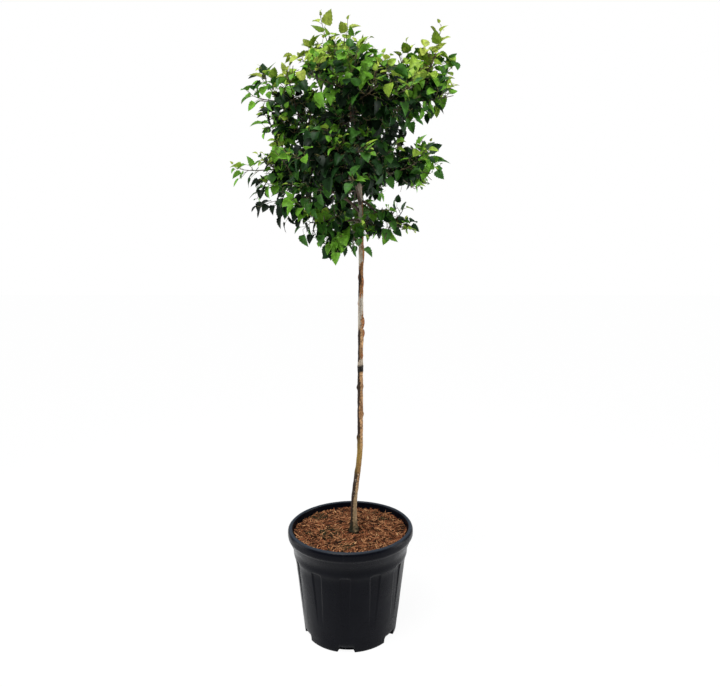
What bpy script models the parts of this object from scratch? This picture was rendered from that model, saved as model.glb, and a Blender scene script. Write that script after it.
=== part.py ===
"""A young birch grown as a standard in a round nursery pot.

A round crown of leafy boughs stands on a bare stem one metre tall. The pot is filled with soil to just under its rim.
Metres, +Z up. The origin is the centre of the pot's flat underside.
"""

import math
import random
from typing import NamedTuple

import bmesh
import bpy
from mathutils import Matrix, Vector
from mathutils.bvhtree import BVHTree

# ---- Driving dimensions ----------------------------------------------------------------------------------------------

GAP = 0.0003  # clearance between pieces that rest on each other

# Pot
POT_HEIGHT = 0.2575
RIM_RADIUS = 0.1610
RIM_WIDTH = 0.0115
LIP_HEIGHT = 0.024
COLLAR_RADIUS = 0.1465
COLLAR_TOP = 0.2090
COLLAR_BOTTOM = 0.1935
BODY_TOP_RADIUS = 0.1410
BODY_TOP = 0.1805
BASE_RADIUS = 0.117
POT_WALL = 0.005
POT_FLOOR = 0.008
POT_STEPS = 48
FLUTES = 12
FLUTE_TURN = math.radians(-93)  # direction of the first flute, seen from above
FLUTE_WIDTH = 0.027
FLUTE_FOOT_WIDTH = 0.015
FLUTE_DEPTH = 0.0028
FLUTE_TOP = 0.1925
FLUTE_HEAD = 0.005  # height of the rounded top
FLUTE_BOTTOM = 0.060
NOTCHES = 6
NOTCH_TOP_WIDTH = 0.033
NOTCH_FOOT_WIDTH = 0.041
NOTCH_HEIGHT = 0.013
NOTCH_REACH = 0.012
CUTTER_MARGIN = 0.02  # how far a cutter stands out of what it cuts

# Soil
SOIL_TOP = 0.2435  # at the stem
SOIL_EDGE_DROP = 0.004
SOIL_FLAT_RADIUS = 0.035

# Trunk: the stem leans to +X, then runs straight up and bends back inside the crown
TRUNK_BASE = SOIL_TOP + GAP
TRUNK_TIP = 1.395
TRUNK_SIDES = 8
TRUNK_RINGS = 25
FLARE_RADIUS = 0.0125
FLARE_HEIGHT = 0.045
STEM_FOOT_RADIUS = 0.0078
STEM_HEAD_RADIUS = 0.0060  # where the crown starts
TRUNK_TIP_RADIUS = 0.0028
CROWN_BASE = 1.065
TRUNK_LINE = (  # points on the trunk's centre line
    (0.0083, -0.008, TRUNK_BASE),
    (0.0089, -0.008, 0.316),
    (0.0165, -0.006, 0.383),
    (0.0240, -0.004, 0.455),
    (0.0250, -0.001, 0.620),
    (0.0262, 0.002, 0.840),
    (0.0266, 0.001, CROWN_BASE),
    (0.0150, 0.000, 1.210),
    (-0.0120, 0.002, TRUNK_TIP),
)

# Boughs
BOUGH_SIDES = 6
BOUGH_RINGS = 5
BOUGH_FOOT_RADIUS = 0.0040
BOUGH_TIP_RADIUS = 0.0024
BOUGH_ARCH = 0.25  # how far a bough bends up, as a share of its length
BOUGH_STOP = 0.62  # where it ends, between its mass's centre (0) and the edge of the space (1)
BOUGH_SHORTEST = 0.35  # and at least this share of the way to the centre

# Twigs
TWIG_FOOT_RADIUS = 0.0021
TWIG_TIP_RADIUS = 0.0014
TWIG_SEGMENTS = 2
TWIG_BEND = (-0.05, 0.22)  # how far a twig's tip bends up, as a share of its length
STEM_EXTRA_RADIUS = 0.0004  # a mass's stem is that much thicker at its foot
STEM_FOOT = 0.006  # straight start of a mass's stem
STEM_REACH = 0.55  # how far the stem runs on past the centre, as a share of the way there
CLEAR = 0.0015  # kept between foliage and limbs, and between two masses
GOLDEN_ANGLE = math.radians(137.5)
TRIES = 12

# Leaves
LEAF_LENGTH = 0.072  # each leaf stands for two or three real ones
LEAF_WIDTH = 0.058
LEAF_THICKNESS = 0.0014
LEAF_WIDEST = 0.36  # share of the length
LEAF_RIDGE = 0.22  # where the leaf is thickest, as a share of the length
LEAF_DROOP = 0.10  # how far the tip hangs and the sides lift, as a share of the length and of the width
LEAF_SUNK = 0.0003  # how far a leaf's root passes the axis of its twig
LEAF_SPACING = 0.030
LEAF_SHRINK = 0.95  # how much smaller a leaf is tried each time that it has no room
LEAF_SPREAD = (0.7, 1.2)  # angle from its twig, in radians
LEAF_HANG = (-0.9, -0.2)
TIP_LEAF_SPREAD = 0.3
SHOOT_LEAF_SCALE = 0.55  # young leaves on the leading shoots
SHOOT_LEAF_LIFT = 0.2
FIRST_LEAF = {"stem": 0.5, "twig": 0.2, "shoot": 0.5}  # share of the twig's length
LAST_LEAF = 0.97


class Space(NamedTuple):
    """Where one mass of foliage grows: an ellipsoid, cut back where it meets the next mass."""

    centre: tuple
    half: tuple  # half sizes along X, Y and Z
    fork: float  # height where its bough leaves the trunk, or None on the trunk's own tip
    twigs: int
    tips: tuple  # of its leading shoots


MASSES = {
    "top": Space((-0.015, 0.000, 1.425), (0.150, 0.160, 0.105), None, 8, (
        (-0.088, -0.015, 1.597), (-0.007, 0.010, 1.600), (0.054, -0.020, 1.524), (-0.040, 0.130, 1.530))),
    "upper_right": Space((0.165, -0.020, 1.380), (0.120, 0.165, 0.110), 1.225, 9, (
        (0.239, -0.020, 1.562), (0.135, 0.000, 1.519), (0.278, -0.040, 1.437), (0.200, 0.170, 1.450))),
    "upper_left": Space((-0.155, -0.010, 1.330), (0.125, 0.175, 0.120), 1.205, 9, (
        (-0.214, -0.020, 1.447), (-0.284, -0.030, 1.379), (-0.160, 0.020, 1.469), (-0.200, -0.190, 1.380))),
    "upper_front": Space((0.010, -0.165, 1.325), (0.165, 0.115, 0.115), 1.180, 8, (
        (0.030, -0.290, 1.400),)),
    "upper_back": Space((0.000, 0.170, 1.335), (0.170, 0.115, 0.120), 1.195, 8, (
        (-0.060, 0.285, 1.430), (0.100, 0.270, 1.425))),
    "middle_left": Space((-0.160, -0.010, 1.160), (0.135, 0.170, 0.105), CROWN_BASE, 9, (
        (-0.314, -0.030, 1.178), (-0.251, -0.040, 1.090), (-0.190, 0.180, 1.190))),
    "middle_right": Space((0.145, 0.000, 1.185), (0.110, 0.165, 0.090), 1.140, 8, (
        (0.247, 0.000, 1.177), (0.221, 0.020, 1.264), (0.180, -0.180, 1.200))),
    "middle_front": Space((-0.010, -0.155, 1.165), (0.160, 0.115, 0.105), 1.085, 8, (
        (0.060, -0.270, 1.175),)),
    "middle_back": Space((0.000, 0.165, 1.165), (0.165, 0.120, 0.105), 1.100, 8, (
        (-0.090, 0.275, 1.200), (0.100, 0.265, 1.150))),
    "lower_left": Space((-0.070, -0.040, 1.035), (0.095, 0.105, 0.095), 1.040, 6, (
        (-0.151, -0.050, 1.026), (-0.054, -0.060, 0.928))),
    "lower_right": Space((0.100, -0.015, 1.042), (0.085, 0.100, 0.070), 1.095, 6, (
        (0.176, -0.030, 1.015), (0.153, -0.010, 1.102))),
    "lower_back": Space((0.005, 0.095, 1.045), (0.105, 0.085, 0.080), 1.050, 5, (
        (-0.020, 0.170, 1.005),)),
}

# ---- Scene and materials ---------------------------------------------------------------------------------------------


def clear_scene():
    for obj in list(bpy.data.objects):
        bpy.data.objects.remove(obj, do_unlink=True)


def material(name, colour, roughness):
    made = bpy.data.materials.new(name)
    made.use_nodes = True
    shader = made.node_tree.nodes["Principled BSDF"]
    shader.inputs["Base Color"].default_value = (*colour, 1.0)
    shader.inputs["Roughness"].default_value = roughness
    shader.inputs["Metallic"].default_value = 0.0
    return made


def add_object(name, mesh, look=None):
    obj = bpy.data.objects.new(name, mesh)
    bpy.context.scene.collection.objects.link(obj)
    if look:
        mesh.materials.append(look)
    return obj


def mesh_from(name, points, faces):
    """A mesh with its faces turned outwards."""
    mesh = bpy.data.meshes.new(name)
    mesh.from_pydata([tuple(p) for p in points], [], faces)
    shape = bmesh.new()
    shape.from_mesh(mesh)
    bmesh.ops.recalc_face_normals(shape, faces=shape.faces)
    shape.to_mesh(mesh)
    shape.free()
    return mesh


def shade_round(mesh, degrees=35):
    mesh.shade_smooth()
    mesh.set_sharp_from_angle(angle=math.radians(degrees))


def apply_modifiers(obj):
    graph = bpy.context.evaluated_depsgraph_get()
    made = bpy.data.meshes.new_from_object(obj.evaluated_get(graph))
    old = obj.data
    obj.modifiers.clear()
    obj.data = made
    bpy.data.meshes.remove(old)


# ---- Turned shapes ---------------------------------------------------------------------------------------------------


def turned_mesh(name, profile):
    """A closed profile of (radius, height) turned round Z. Its first and last points lie on the axis."""
    points = [Vector((0, 0, profile[0][1])), Vector((0, 0, profile[-1][1]))]
    faces, rings = [], []
    for radius, height in profile[1:-1]:
        ring = []
        for k in range(POT_STEPS):
            turn = 2 * math.pi * k / POT_STEPS
            ring.append(len(points))
            points.append(Vector((radius * math.cos(turn), radius * math.sin(turn), height)))
        rings.append(ring)
    for k in range(POT_STEPS):
        after = (k + 1) % POT_STEPS
        faces.append((0, rings[0][k], rings[0][after]))
        faces.append((1, rings[-1][k], rings[-1][after]))
        for low, high in zip(rings, rings[1:]):
            faces.append((low[k], low[after], high[after], high[k]))
    return mesh_from(name, points, faces)


def pot_outer_profile():
    lip_low = POT_HEIGHT - LIP_HEIGHT
    return [
        (BASE_RADIUS - 0.004, 0.0),
        (BASE_RADIUS + 0.0004, 0.004),
        (BODY_TOP_RADIUS, BODY_TOP),
        (COLLAR_RADIUS - 0.0005, COLLAR_BOTTOM),
        (COLLAR_RADIUS, COLLAR_TOP),
        (RIM_RADIUS - 0.0015, lip_low),
        (RIM_RADIUS, lip_low + 0.003),
        (RIM_RADIUS, POT_HEIGHT - 0.006),
        (RIM_RADIUS - 0.002, POT_HEIGHT - 0.0015),
        (RIM_RADIUS - 0.005, POT_HEIGHT),
    ]


def pot_inner_profile():
    """From the rim's inner edge down to the floor."""
    inner = RIM_RADIUS - RIM_WIDTH
    return [
        (inner + 0.003, POT_HEIGHT),
        (inner, POT_HEIGHT - 0.003),
        (COLLAR_RADIUS - POT_WALL, COLLAR_TOP),
        (BASE_RADIUS - POT_WALL, POT_FLOOR),
    ]


def inner_radius(height):
    """Radius of the pot's inner wall at a height, by straight lines between the points of its profile."""
    wall = pot_inner_profile()
    for (r_high, z_high), (r_low, z_low) in zip(wall, wall[1:]):
        if z_low <= height <= z_high:
            return r_low + (r_high - r_low) * (height - z_low) / (z_high - z_low)
    return wall[-1][0]


def outer_radius(height):
    """Radius of the pot's outer wall between its foot and its collar."""
    body = BASE_RADIUS + (BODY_TOP_RADIUS - BASE_RADIUS) * min(height, BODY_TOP) / BODY_TOP
    step = max(0.0, (height - BODY_TOP) / (COLLAR_BOTTOM - BODY_TOP))
    return body + (COLLAR_RADIUS - BODY_TOP_RADIUS) * step


def block_cutter(name, corners, turn):
    """A closed body through rings of four corners, turned about Z."""
    rings = len(corners) // 4
    faces = [(0, 1, 2, 3), tuple(range(4 * rings - 4, 4 * rings))]
    for ring in range(rings - 1):
        for k in range(4):
            low, after = 4 * ring, (k + 1) % 4
            faces.append((low + k, low + after, low + 4 + after, low + 4 + k))
    cutter = add_object(name, mesh_from(name, corners, faces))
    cutter.data.transform(Matrix.Rotation(turn, 4, "Z"))
    return cutter


def flute_cutter(turn):
    """A long flat-backed wedge, FLUTE_DEPTH deep at its top. It runs out of the wall at its bottom."""
    shallow = -0.0002
    rows = (
        (FLUTE_BOTTOM, FLUTE_FOOT_WIDTH, shallow),
        (FLUTE_TOP - FLUTE_HEAD, FLUTE_WIDTH, FLUTE_DEPTH),
        (FLUTE_TOP, 0.7 * FLUTE_WIDTH, FLUTE_DEPTH),
    )
    corners = []
    for height, width, depth in rows:
        back, front = outer_radius(height) - depth, outer_radius(height) + CUTTER_MARGIN
        for radius, side in ((back, -0.4), (back, 0.4), (front, 0.5), (front, -0.5)):
            corners.append(Vector((radius, side * width, height)))
    return block_cutter("flute_cutter", corners, turn)


def notch_cutter(turn):
    """A drainage notch across the foot of the wall. It widens downwards."""
    low = -CUTTER_MARGIN
    slope = (NOTCH_FOOT_WIDTH - NOTCH_TOP_WIDTH) / 2 / NOTCH_HEIGHT
    wide = NOTCH_FOOT_WIDTH / 2 - slope * low
    narrow = NOTCH_TOP_WIDTH / 2
    corners = []
    for radius in (BASE_RADIUS - NOTCH_REACH, BASE_RADIUS + CUTTER_MARGIN):
        for side, height in ((-wide, low), (wide, low), (narrow, NOTCH_HEIGHT), (-narrow, NOTCH_HEIGHT)):
            corners.append(Vector((radius, side, height)))
    return block_cutter("notch_cutter", corners, turn)


def boolean_with(obj, others, operation, solver="EXACT"):
    """One Boolean with all of the others, applied. The others are removed."""
    group = bpy.data.collections.new("boolean")
    for other in others:
        bpy.context.scene.collection.objects.unlink(other)
        group.objects.link(other)
    bpy.context.scene.collection.children.link(group)
    change = obj.modifiers.new("join", "BOOLEAN")
    change.operation = operation
    change.operand_type = "COLLECTION"
    change.collection = group
    change.solver = solver
    apply_modifiers(obj)
    for other in others:
        bpy.data.objects.remove(other, do_unlink=True)
    bpy.data.collections.remove(group)


def keep_largest_shell(mesh):
    """Fills the hollows that a union has sealed and drops its loose scraps: only the outer surface stays."""
    shape = bmesh.new()
    shape.from_mesh(mesh)
    shells = []
    left = set(shape.verts)
    while left:
        shell = set()
        front = [left.pop()]
        while front:
            vertex = front.pop()
            shell.add(vertex)
            linked = {edge.other_vert(vertex) for edge in vertex.link_edges} & left
            left -= linked
            front.extend(linked)
        shells.append(shell)
    shells.sort(key=len)
    bmesh.ops.delete(shape, geom=[vertex for shell in shells[:-1] for vertex in shell], context="VERTS")
    shape.to_mesh(mesh)
    shape.free()


def make_pot(look):
    profile = [(0.0, 0.0)] + pot_outer_profile() + pot_inner_profile() + [(0.0, POT_FLOOR)]
    pot = add_object("pot", turned_mesh("pot", profile), look)
    cutters = [flute_cutter(FLUTE_TURN + 2 * math.pi * k / FLUTES) for k in range(FLUTES)]
    cutters += [notch_cutter(FLUTE_TURN + 2 * math.pi * k / NOTCHES) for k in range(NOTCHES)]
    boolean_with(pot, cutters, "DIFFERENCE")
    shade_round(pot.data)


def make_soil(look):
    edge = SOIL_TOP - SOIL_EDGE_DROP
    floor = POT_FLOOR + GAP
    wall = [(inner_radius(height) - GAP, height) for height in (floor, COLLAR_TOP, edge)]
    profile = [(0.0, floor), *wall, (SOIL_FLAT_RADIUS, SOIL_TOP), (0.0, SOIL_TOP)]
    soil = add_object("soil", turned_mesh("soil", profile), look)
    shade_round(soil.data)


# ---- Limbs -----------------------------------------------------------------------------------------------------------


def smooth_path(points, count):
    """Points at even steps along a Catmull-Rom curve through the given points."""
    padded = [2 * points[0] - points[1], *points, 2 * points[-1] - points[-2]]
    spans = len(points) - 1
    path = []
    for k in range(count):
        place = spans * k / (count - 1)
        i = min(int(place), spans - 1)
        t = place - i
        a, b, c, d = padded[i : i + 4]
        path.append(0.5 * (2 * b + (c - a) * t + (2 * a - 5 * b + 4 * c - d) * t * t + (3 * b - a - 3 * c + d) * t**3))
    return path


def tube_mesh(name, path, radii, sides):
    """A tube of round section along a path, closed at both ends. Its rings are square to the path."""
    points, faces = [], []
    across = None
    for k, (point, radius) in enumerate(zip(path, radii)):
        along = (path[min(k + 1, len(path) - 1)] - path[max(k - 1, 0)]).normalized()
        if across is None:
            across = along.orthogonal().normalized()
        across = (across - along * across.dot(along)).normalized()
        other = along.cross(across)
        for s in range(sides):
            turn = 2 * math.pi * s / sides
            points.append(point + radius * (math.cos(turn) * across + math.sin(turn) * other))
    for k in range(len(path) - 1):
        for s in range(sides):
            after = (s + 1) % sides
            low, high = k * sides, (k + 1) * sides
            faces.append((low + s, low + after, high + after, high + s))
    faces.append(tuple(range(sides)))
    faces.append(tuple(range(len(points) - sides, len(points))))
    return mesh_from(name, points, faces)


def trunk_radius(height):
    """A root flare at the foot, then a straight taper to the crown and a quicker one to the tip."""
    if height < CROWN_BASE:
        share = (height - TRUNK_BASE) / (CROWN_BASE - TRUNK_BASE)
        stem = STEM_FOOT_RADIUS + (STEM_HEAD_RADIUS - STEM_FOOT_RADIUS) * share
        flare = max(0.0, 1 - (height - TRUNK_BASE) / FLARE_HEIGHT)
        return stem + (FLARE_RADIUS - STEM_FOOT_RADIUS) * flare**2
    share = (height - CROWN_BASE) / (TRUNK_TIP - CROWN_BASE)
    return STEM_HEAD_RADIUS + (TRUNK_TIP_RADIUS - STEM_HEAD_RADIUS) * share


def trunk_path():
    """The centre line with close rings in the flare. The first ring lies flat on the ground."""
    line = smooth_path([Vector(p) for p in TRUNK_LINE], TRUNK_RINGS)
    foot = line[0]
    rise = (line[1] - foot) / (line[1].z - foot.z)
    flare = [foot + rise * (FLARE_HEIGHT * share) for share in (0.0, 0.25, 0.55, 1.0)]
    return flare + [point for point in line[1:] if point.z > flare[-1].z + 0.01]


def trunk_point(height):
    path = trunk_path()
    for low, high in zip(path, path[1:]):
        if low.z <= height <= high.z:
            return low.lerp(high, (height - low.z) / (high.z - low.z))
    return path[-1]


def trunk_mesh(name, extra=0.0):
    path = trunk_path()
    mesh = tube_mesh(name, path, [trunk_radius(p.z) + extra for p in path], TRUNK_SIDES)
    for vertex in mesh.vertices[:TRUNK_SIDES]:
        vertex.co.z = TRUNK_BASE - extra
    return mesh


def bough_path(space):
    """Leaves the trunk steeply, then arches out to a point just inside its mass."""
    fork = trunk_point(space.fork)
    outward = Vector(space.centre) - fork
    reach = Vector([way / half for way, half in zip(outward, space.half)]).length
    tip = fork + outward * max(BOUGH_SHORTEST, 1 - BOUGH_STOP / reach)
    bend = fork.lerp(tip, 0.45)
    bend.z += BOUGH_ARCH * (tip - fork).length
    steps = [k / (BOUGH_RINGS - 1) for k in range(BOUGH_RINGS)]
    return [fork * (1 - t) ** 2 + bend * 2 * t * (1 - t) + tip * t * t for t in steps]


def bough_radii(extra=0.0):
    last = BOUGH_RINGS - 1
    step = (BOUGH_TIP_RADIUS - BOUGH_FOOT_RADIUS) / last
    return [BOUGH_FOOT_RADIUS + step * k + extra for k in range(BOUGH_RINGS)]


def make_limbs(look):
    """The trunk, and a bough for each mass, its foot cut to fit round the trunk."""
    trunk = add_object("trunk", trunk_mesh("trunk"), look)
    shade_round(trunk.data)
    for name, space in MASSES.items():
        if space.fork is None:
            continue
        bough = add_object(f"bough_{name}", tube_mesh(name, bough_path(space), bough_radii(), BOUGH_SIDES), look)
        boolean_with(bough, [add_object("trunk_cutter", trunk_mesh("trunk_cutter", GAP))], "DIFFERENCE")
        shade_round(bough.data)


# ---- Foliage ---------------------------------------------------------------------------------------------------------


def search_tree(mesh):
    points = [vertex.co for vertex in mesh.vertices]
    return BVHTree.FromPolygons(points, [tuple(face.vertices) for face in mesh.polygons])


def limb_trees():
    """The limbs, fattened by CLEAR, for testing whether foliage touches them."""
    limbs = [trunk_mesh("trunk_space", CLEAR)]
    for space in MASSES.values():
        if space.fork is not None:
            limbs.append(tube_mesh("bough_space", bough_path(space), bough_radii(CLEAR), BOUGH_SIDES))
    return [search_tree(mesh) for mesh in limbs]


def in_ellipsoid(point, space):
    return sum(((p - c) / h) ** 2 for p, c, h in zip(point, space.centre, space.half)) < 1


def in_cell(point, name):
    """On this mass's side of the plane between it and each other mass, by more than the clearance. The plane stands at
    a distance in proportion to the mean half size, so that a large mass has the larger share."""
    centre, size = Vector(MASSES[name].centre), sum(MASSES[name].half)
    for other, space in MASSES.items():
        if other == name:
            continue
        between = Vector(space.centre) - centre
        edge = centre + between * (size / (size + sum(space.half)))
        if (point - edge).dot(between.normalized()) > -CLEAR:
            return False
    return True


def twig_path(start, direction, length, rise):
    """A gentle curve: it sets off in the direction given and bends up, or down where rise is negative."""
    path = []
    for k in range(TWIG_SEGMENTS + 1):
        t = k / TWIG_SEGMENTS
        path.append(start + direction * (length * t) + Vector((0, 0, rise * length * t * t)))
    return path


def point_on(path, share):
    place = share * (len(path) - 1)
    i = min(int(place), len(path) - 2)
    return path[i].lerp(path[i + 1], place - i), (path[i + 1] - path[i]).normalized()


def leaf_points(root, along, up, size):
    """A kite with a ridge on both faces: eight faces in all. Its tip droops and its sides fold up a little."""
    side = along.cross(up).normalized()
    face = side.cross(along).normalized()
    length, width = LEAF_LENGTH * size, LEAF_WIDTH * size
    widest = root + along * (length * LEAF_WIDEST) + face * (LEAF_DROOP * width)
    ridge = root + along * (length * LEAF_RIDGE)
    return [
        root - along * LEAF_SUNK,
        widest + side * (width / 2),
        root + along * length - face * (LEAF_DROOP * length),
        widest - side * (width / 2),
        ridge + face * (LEAF_THICKNESS / 2),
        ridge - face * (LEAF_THICKNESS / 2),
    ]


LEAF_FACES = [(0, 1, 4), (1, 2, 4), (2, 3, 4), (3, 0, 4), (1, 0, 5), (2, 1, 5), (3, 2, 5), (0, 3, 5)]


class Mass:
    """Grows the twigs and leaves of one mass inside its own space."""

    def __init__(self, name, limbs):
        self.name, self.limbs, self.space = name, limbs, MASSES[name]
        self.centre = Vector(self.space.centre)
        self.rng = random.Random(name)
        self.pieces, self.leaves = [], []

    def in_space(self, points, shoot):
        """A leading shoot may pass the ellipsoid, but not into another mass."""
        return all(in_cell(point, self.name) and (shoot or in_ellipsoid(point, self.space)) for point in points)

    def touches_limb(self, shape):
        return any(shape.overlap(limb) for limb in self.limbs)

    def add_twig(self, path, foot_radius, shoot=False):
        """The stem is the first one, and is not tested against the bough whose tip it meets."""
        last = len(path) - 1
        radii = [foot_radius + (TWIG_TIP_RADIUS - foot_radius) * k / last for k in range(last + 1)]
        mesh = tube_mesh("twig", path, radii, 3)
        if self.pieces and (not self.in_space(path, shoot) or self.touches_limb(search_tree(mesh))):
            bpy.data.meshes.remove(mesh)
            return False
        self.pieces.append(mesh)
        return True

    def add_leaf(self, root, along, up, size, shoot):
        points = leaf_points(root, along, up, size)
        shape = BVHTree.FromPolygons(points, LEAF_FACES)
        free = self.in_space(points, shoot) and not self.touches_limb(shape)
        if not free or any(shape.overlap(other) for other in self.leaves):
            return False
        self.leaves.append(shape)
        self.pieces.append(mesh_from("leaf", points, LEAF_FACES))
        return True

    def leaves_along(self, path, kind):
        """Leaves in a spiral along a twig, hanging outwards, the last one at its tip. A shoot's are small and stand."""
        shoot = kind == "shoot"
        size = SHOOT_LEAF_SCALE if shoot else 1.0
        first = FIRST_LEAF[kind]
        length = sum((b - a).length for a, b in zip(path, path[1:]))
        count = max(1, round(length * (1 - first) / (LEAF_SPACING * size)))
        for k in range(count + 1):
            root, along = point_on(path, first + (LAST_LEAF - first) * k / count)
            outward = (root - self.centre).normalized()
            for attempt in range(TRIES):
                spread = TIP_LEAF_SPREAD if k == count else self.rng.uniform(*LEAF_SPREAD)
                turn = Matrix.Rotation(k * GOLDEN_ANGLE + self.rng.uniform(-0.8, 0.8), 3, along)
                across = (turn @ along.orthogonal()).normalized()
                way = along * math.cos(spread) + across * math.sin(spread) + outward * 0.3
                way.z += SHOOT_LEAF_LIFT if shoot else self.rng.uniform(*LEAF_HANG)
                up = Vector((0, 0, 1)) + outward * 0.7
                scale = size * self.rng.uniform(0.85, 1.1) * LEAF_SHRINK**attempt
                if self.add_leaf(root, way.normalized(), up, scale, shoot):
                    break

    def make_stem(self, entry, heading):
        end = self.centre + (self.centre - entry) * STEM_REACH
        stem = [entry, *smooth_path([entry + heading * STEM_FOOT, self.centre, end], 4)]
        self.add_twig(stem, TWIG_FOOT_RADIUS + STEM_EXTRA_RADIUS)
        return stem

    def side_twig(self, stem, k):
        """The k-th twig, turned from the last by the golden angle. It is tried shorter until it has room."""
        start, along = point_on(stem, 0.22 + 0.74 * k / self.space.twigs)
        turn = Matrix.Rotation(k * GOLDEN_ANGLE + self.rng.uniform(-0.4, 0.4), 3, along)
        side = (turn @ along.orthogonal()).normalized()
        direction = (side + along * 0.35 + Vector((0, 0, 0.15))).normalized()
        length = 1.1 * sum(half * abs(way) for half, way in zip(self.space.half, direction))
        for _ in range(TRIES):
            path = twig_path(start, direction, length, self.rng.uniform(*TWIG_BEND))
            if self.add_twig(path, TWIG_FOOT_RADIUS):
                return path
            length *= 0.85
        return None

    def add_shoot(self, stem, tip):
        """A slender shoot from the stem. It ends so that its last leaf reaches the tip."""
        feet = [point_on(stem, share / 10)[0] for share in range(3, 10)]
        foot = min(feet, key=lambda point: (point - tip).length)
        end = tip - (tip - foot).normalized() * (LEAF_LENGTH * SHOOT_LEAF_SCALE)
        bend = foot.lerp(end, 0.5) - Vector((0, 0, 0.06 * (end - foot).length))
        path = smooth_path([foot, bend, end], TWIG_SEGMENTS + 2)
        if not self.add_twig(path, TWIG_FOOT_RADIUS, shoot=True):
            raise ValueError(f"a shoot of {self.name} leaves its space or touches a limb: {tuple(tip)}")
        return path

    def grow(self, entry, heading):
        """The stem, its side twigs and its leading shoots, and then their leaves."""
        stem = self.make_stem(entry, heading)
        twigs = [self.side_twig(stem, k) for k in range(self.space.twigs)]
        shoots = [self.add_shoot(stem, Vector(tip)) for tip in self.space.tips]
        for path in shoots:
            self.leaves_along(path, "shoot")
        self.leaves_along(stem, "stem")
        for path in twigs:
            if path is not None:
                self.leaves_along(path, "twig")

    def fuse(self, look):
        """One Boolean union joins the leaves and twigs to the stem."""
        first, *rest = self.pieces
        obj = add_object(f"foliage_{self.name}", first, look)
        boolean_with(obj, [add_object("piece", mesh) for mesh in rest], "UNION", solver="MANIFOLD")
        keep_largest_shell(obj.data)
        print(obj.name, len(self.leaves), "leaves")


def make_foliage(look):
    limbs = limb_trees()
    for name, space in MASSES.items():
        carrier = trunk_path() if space.fork is None else bough_path(space)
        heading = (carrier[-1] - carrier[-2]).normalized()
        grown = Mass(name, limbs)
        grown.grow(carrier[-1] + heading * GAP, heading)
        grown.fuse(look)


def main():
    clear_scene()
    make_pot(material("black_plastic", (0.016, 0.018, 0.020), 0.42))
    make_soil(material("bark_mulch", (0.150, 0.062, 0.030), 0.9))
    make_limbs(material("birch_bark", (0.34, 0.21, 0.12), 0.7))
    make_foliage(material("birch_leaf", (0.055, 0.130, 0.020), 0.5))


main()
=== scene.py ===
# %% [markdown]
# # A young birch in its nursery pot
#
# The plain model of the tree already stands in the scene: a pot, its soil, a stem, boughs and masses of
# foliage, all at their real size. This lesson dresses it. Each plain solid is covered by a finer surface in
# the same place: moulded plastic, shredded bark, peeling birch bark, and twigs that carry real-sized
# leaves.
#
# Units are metres and +Z is up. The origin is the centre of the pot's flat underside.

# %% Load the plain model
import math
import random

import bpy
import numpy as np
from mathutils import Matrix, Vector


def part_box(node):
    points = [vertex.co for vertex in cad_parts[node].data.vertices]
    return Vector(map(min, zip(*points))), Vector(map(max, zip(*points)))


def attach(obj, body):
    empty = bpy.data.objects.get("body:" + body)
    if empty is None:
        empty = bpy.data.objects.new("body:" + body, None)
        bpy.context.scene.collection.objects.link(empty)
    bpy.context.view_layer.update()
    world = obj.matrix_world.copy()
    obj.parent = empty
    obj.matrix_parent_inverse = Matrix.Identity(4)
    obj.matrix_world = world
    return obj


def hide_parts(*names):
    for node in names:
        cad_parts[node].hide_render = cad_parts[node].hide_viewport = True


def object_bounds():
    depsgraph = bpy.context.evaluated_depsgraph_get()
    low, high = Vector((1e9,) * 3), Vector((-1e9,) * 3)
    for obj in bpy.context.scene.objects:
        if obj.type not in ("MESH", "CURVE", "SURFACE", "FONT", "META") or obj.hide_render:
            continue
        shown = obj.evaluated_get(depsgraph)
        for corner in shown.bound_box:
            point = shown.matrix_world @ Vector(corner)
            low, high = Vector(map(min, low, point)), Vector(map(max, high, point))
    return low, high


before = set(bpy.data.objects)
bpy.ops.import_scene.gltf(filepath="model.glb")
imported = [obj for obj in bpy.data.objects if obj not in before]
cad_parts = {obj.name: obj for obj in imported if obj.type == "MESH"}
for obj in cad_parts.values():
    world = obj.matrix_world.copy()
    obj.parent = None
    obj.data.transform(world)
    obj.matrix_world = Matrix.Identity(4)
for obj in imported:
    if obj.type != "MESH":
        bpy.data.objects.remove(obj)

plain_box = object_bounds()
print("nodes of the plain model:", len(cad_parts))

# %% [markdown]
# ## Camera and light
#
# A catalogue view of a tall plant is taken with the camera level, so that the stem stays upright, and the
# lens is shifted down to bring in the pot. The light is that of a white studio. A soft sun and a wide lamp
# overhead make the top of the crown bright and leave its inside dark, and a broad panel on each side draws
# the pale edges of the black pot. Panels are better than more sky light here, because sky light alone would
# make the crown flat.

# %% Camera
camera_data = bpy.data.cameras.new("camera")
camera_data.lens = 28.5
camera_data.sensor_width = 36
camera_data.shift_x = -0.02
camera_data.shift_y = -0.0899
camera = bpy.data.objects.new("camera", camera_data)
camera.location = (0.0616, -1.478, 0.8935)  # eye height, and as far off as a person stands
camera.rotation_euler = (math.radians(90), 0, 0)
bpy.context.scene.collection.objects.link(camera)
bpy.context.scene.camera = camera
bpy.context.scene.view_settings.view_transform = "Standard"

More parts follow.
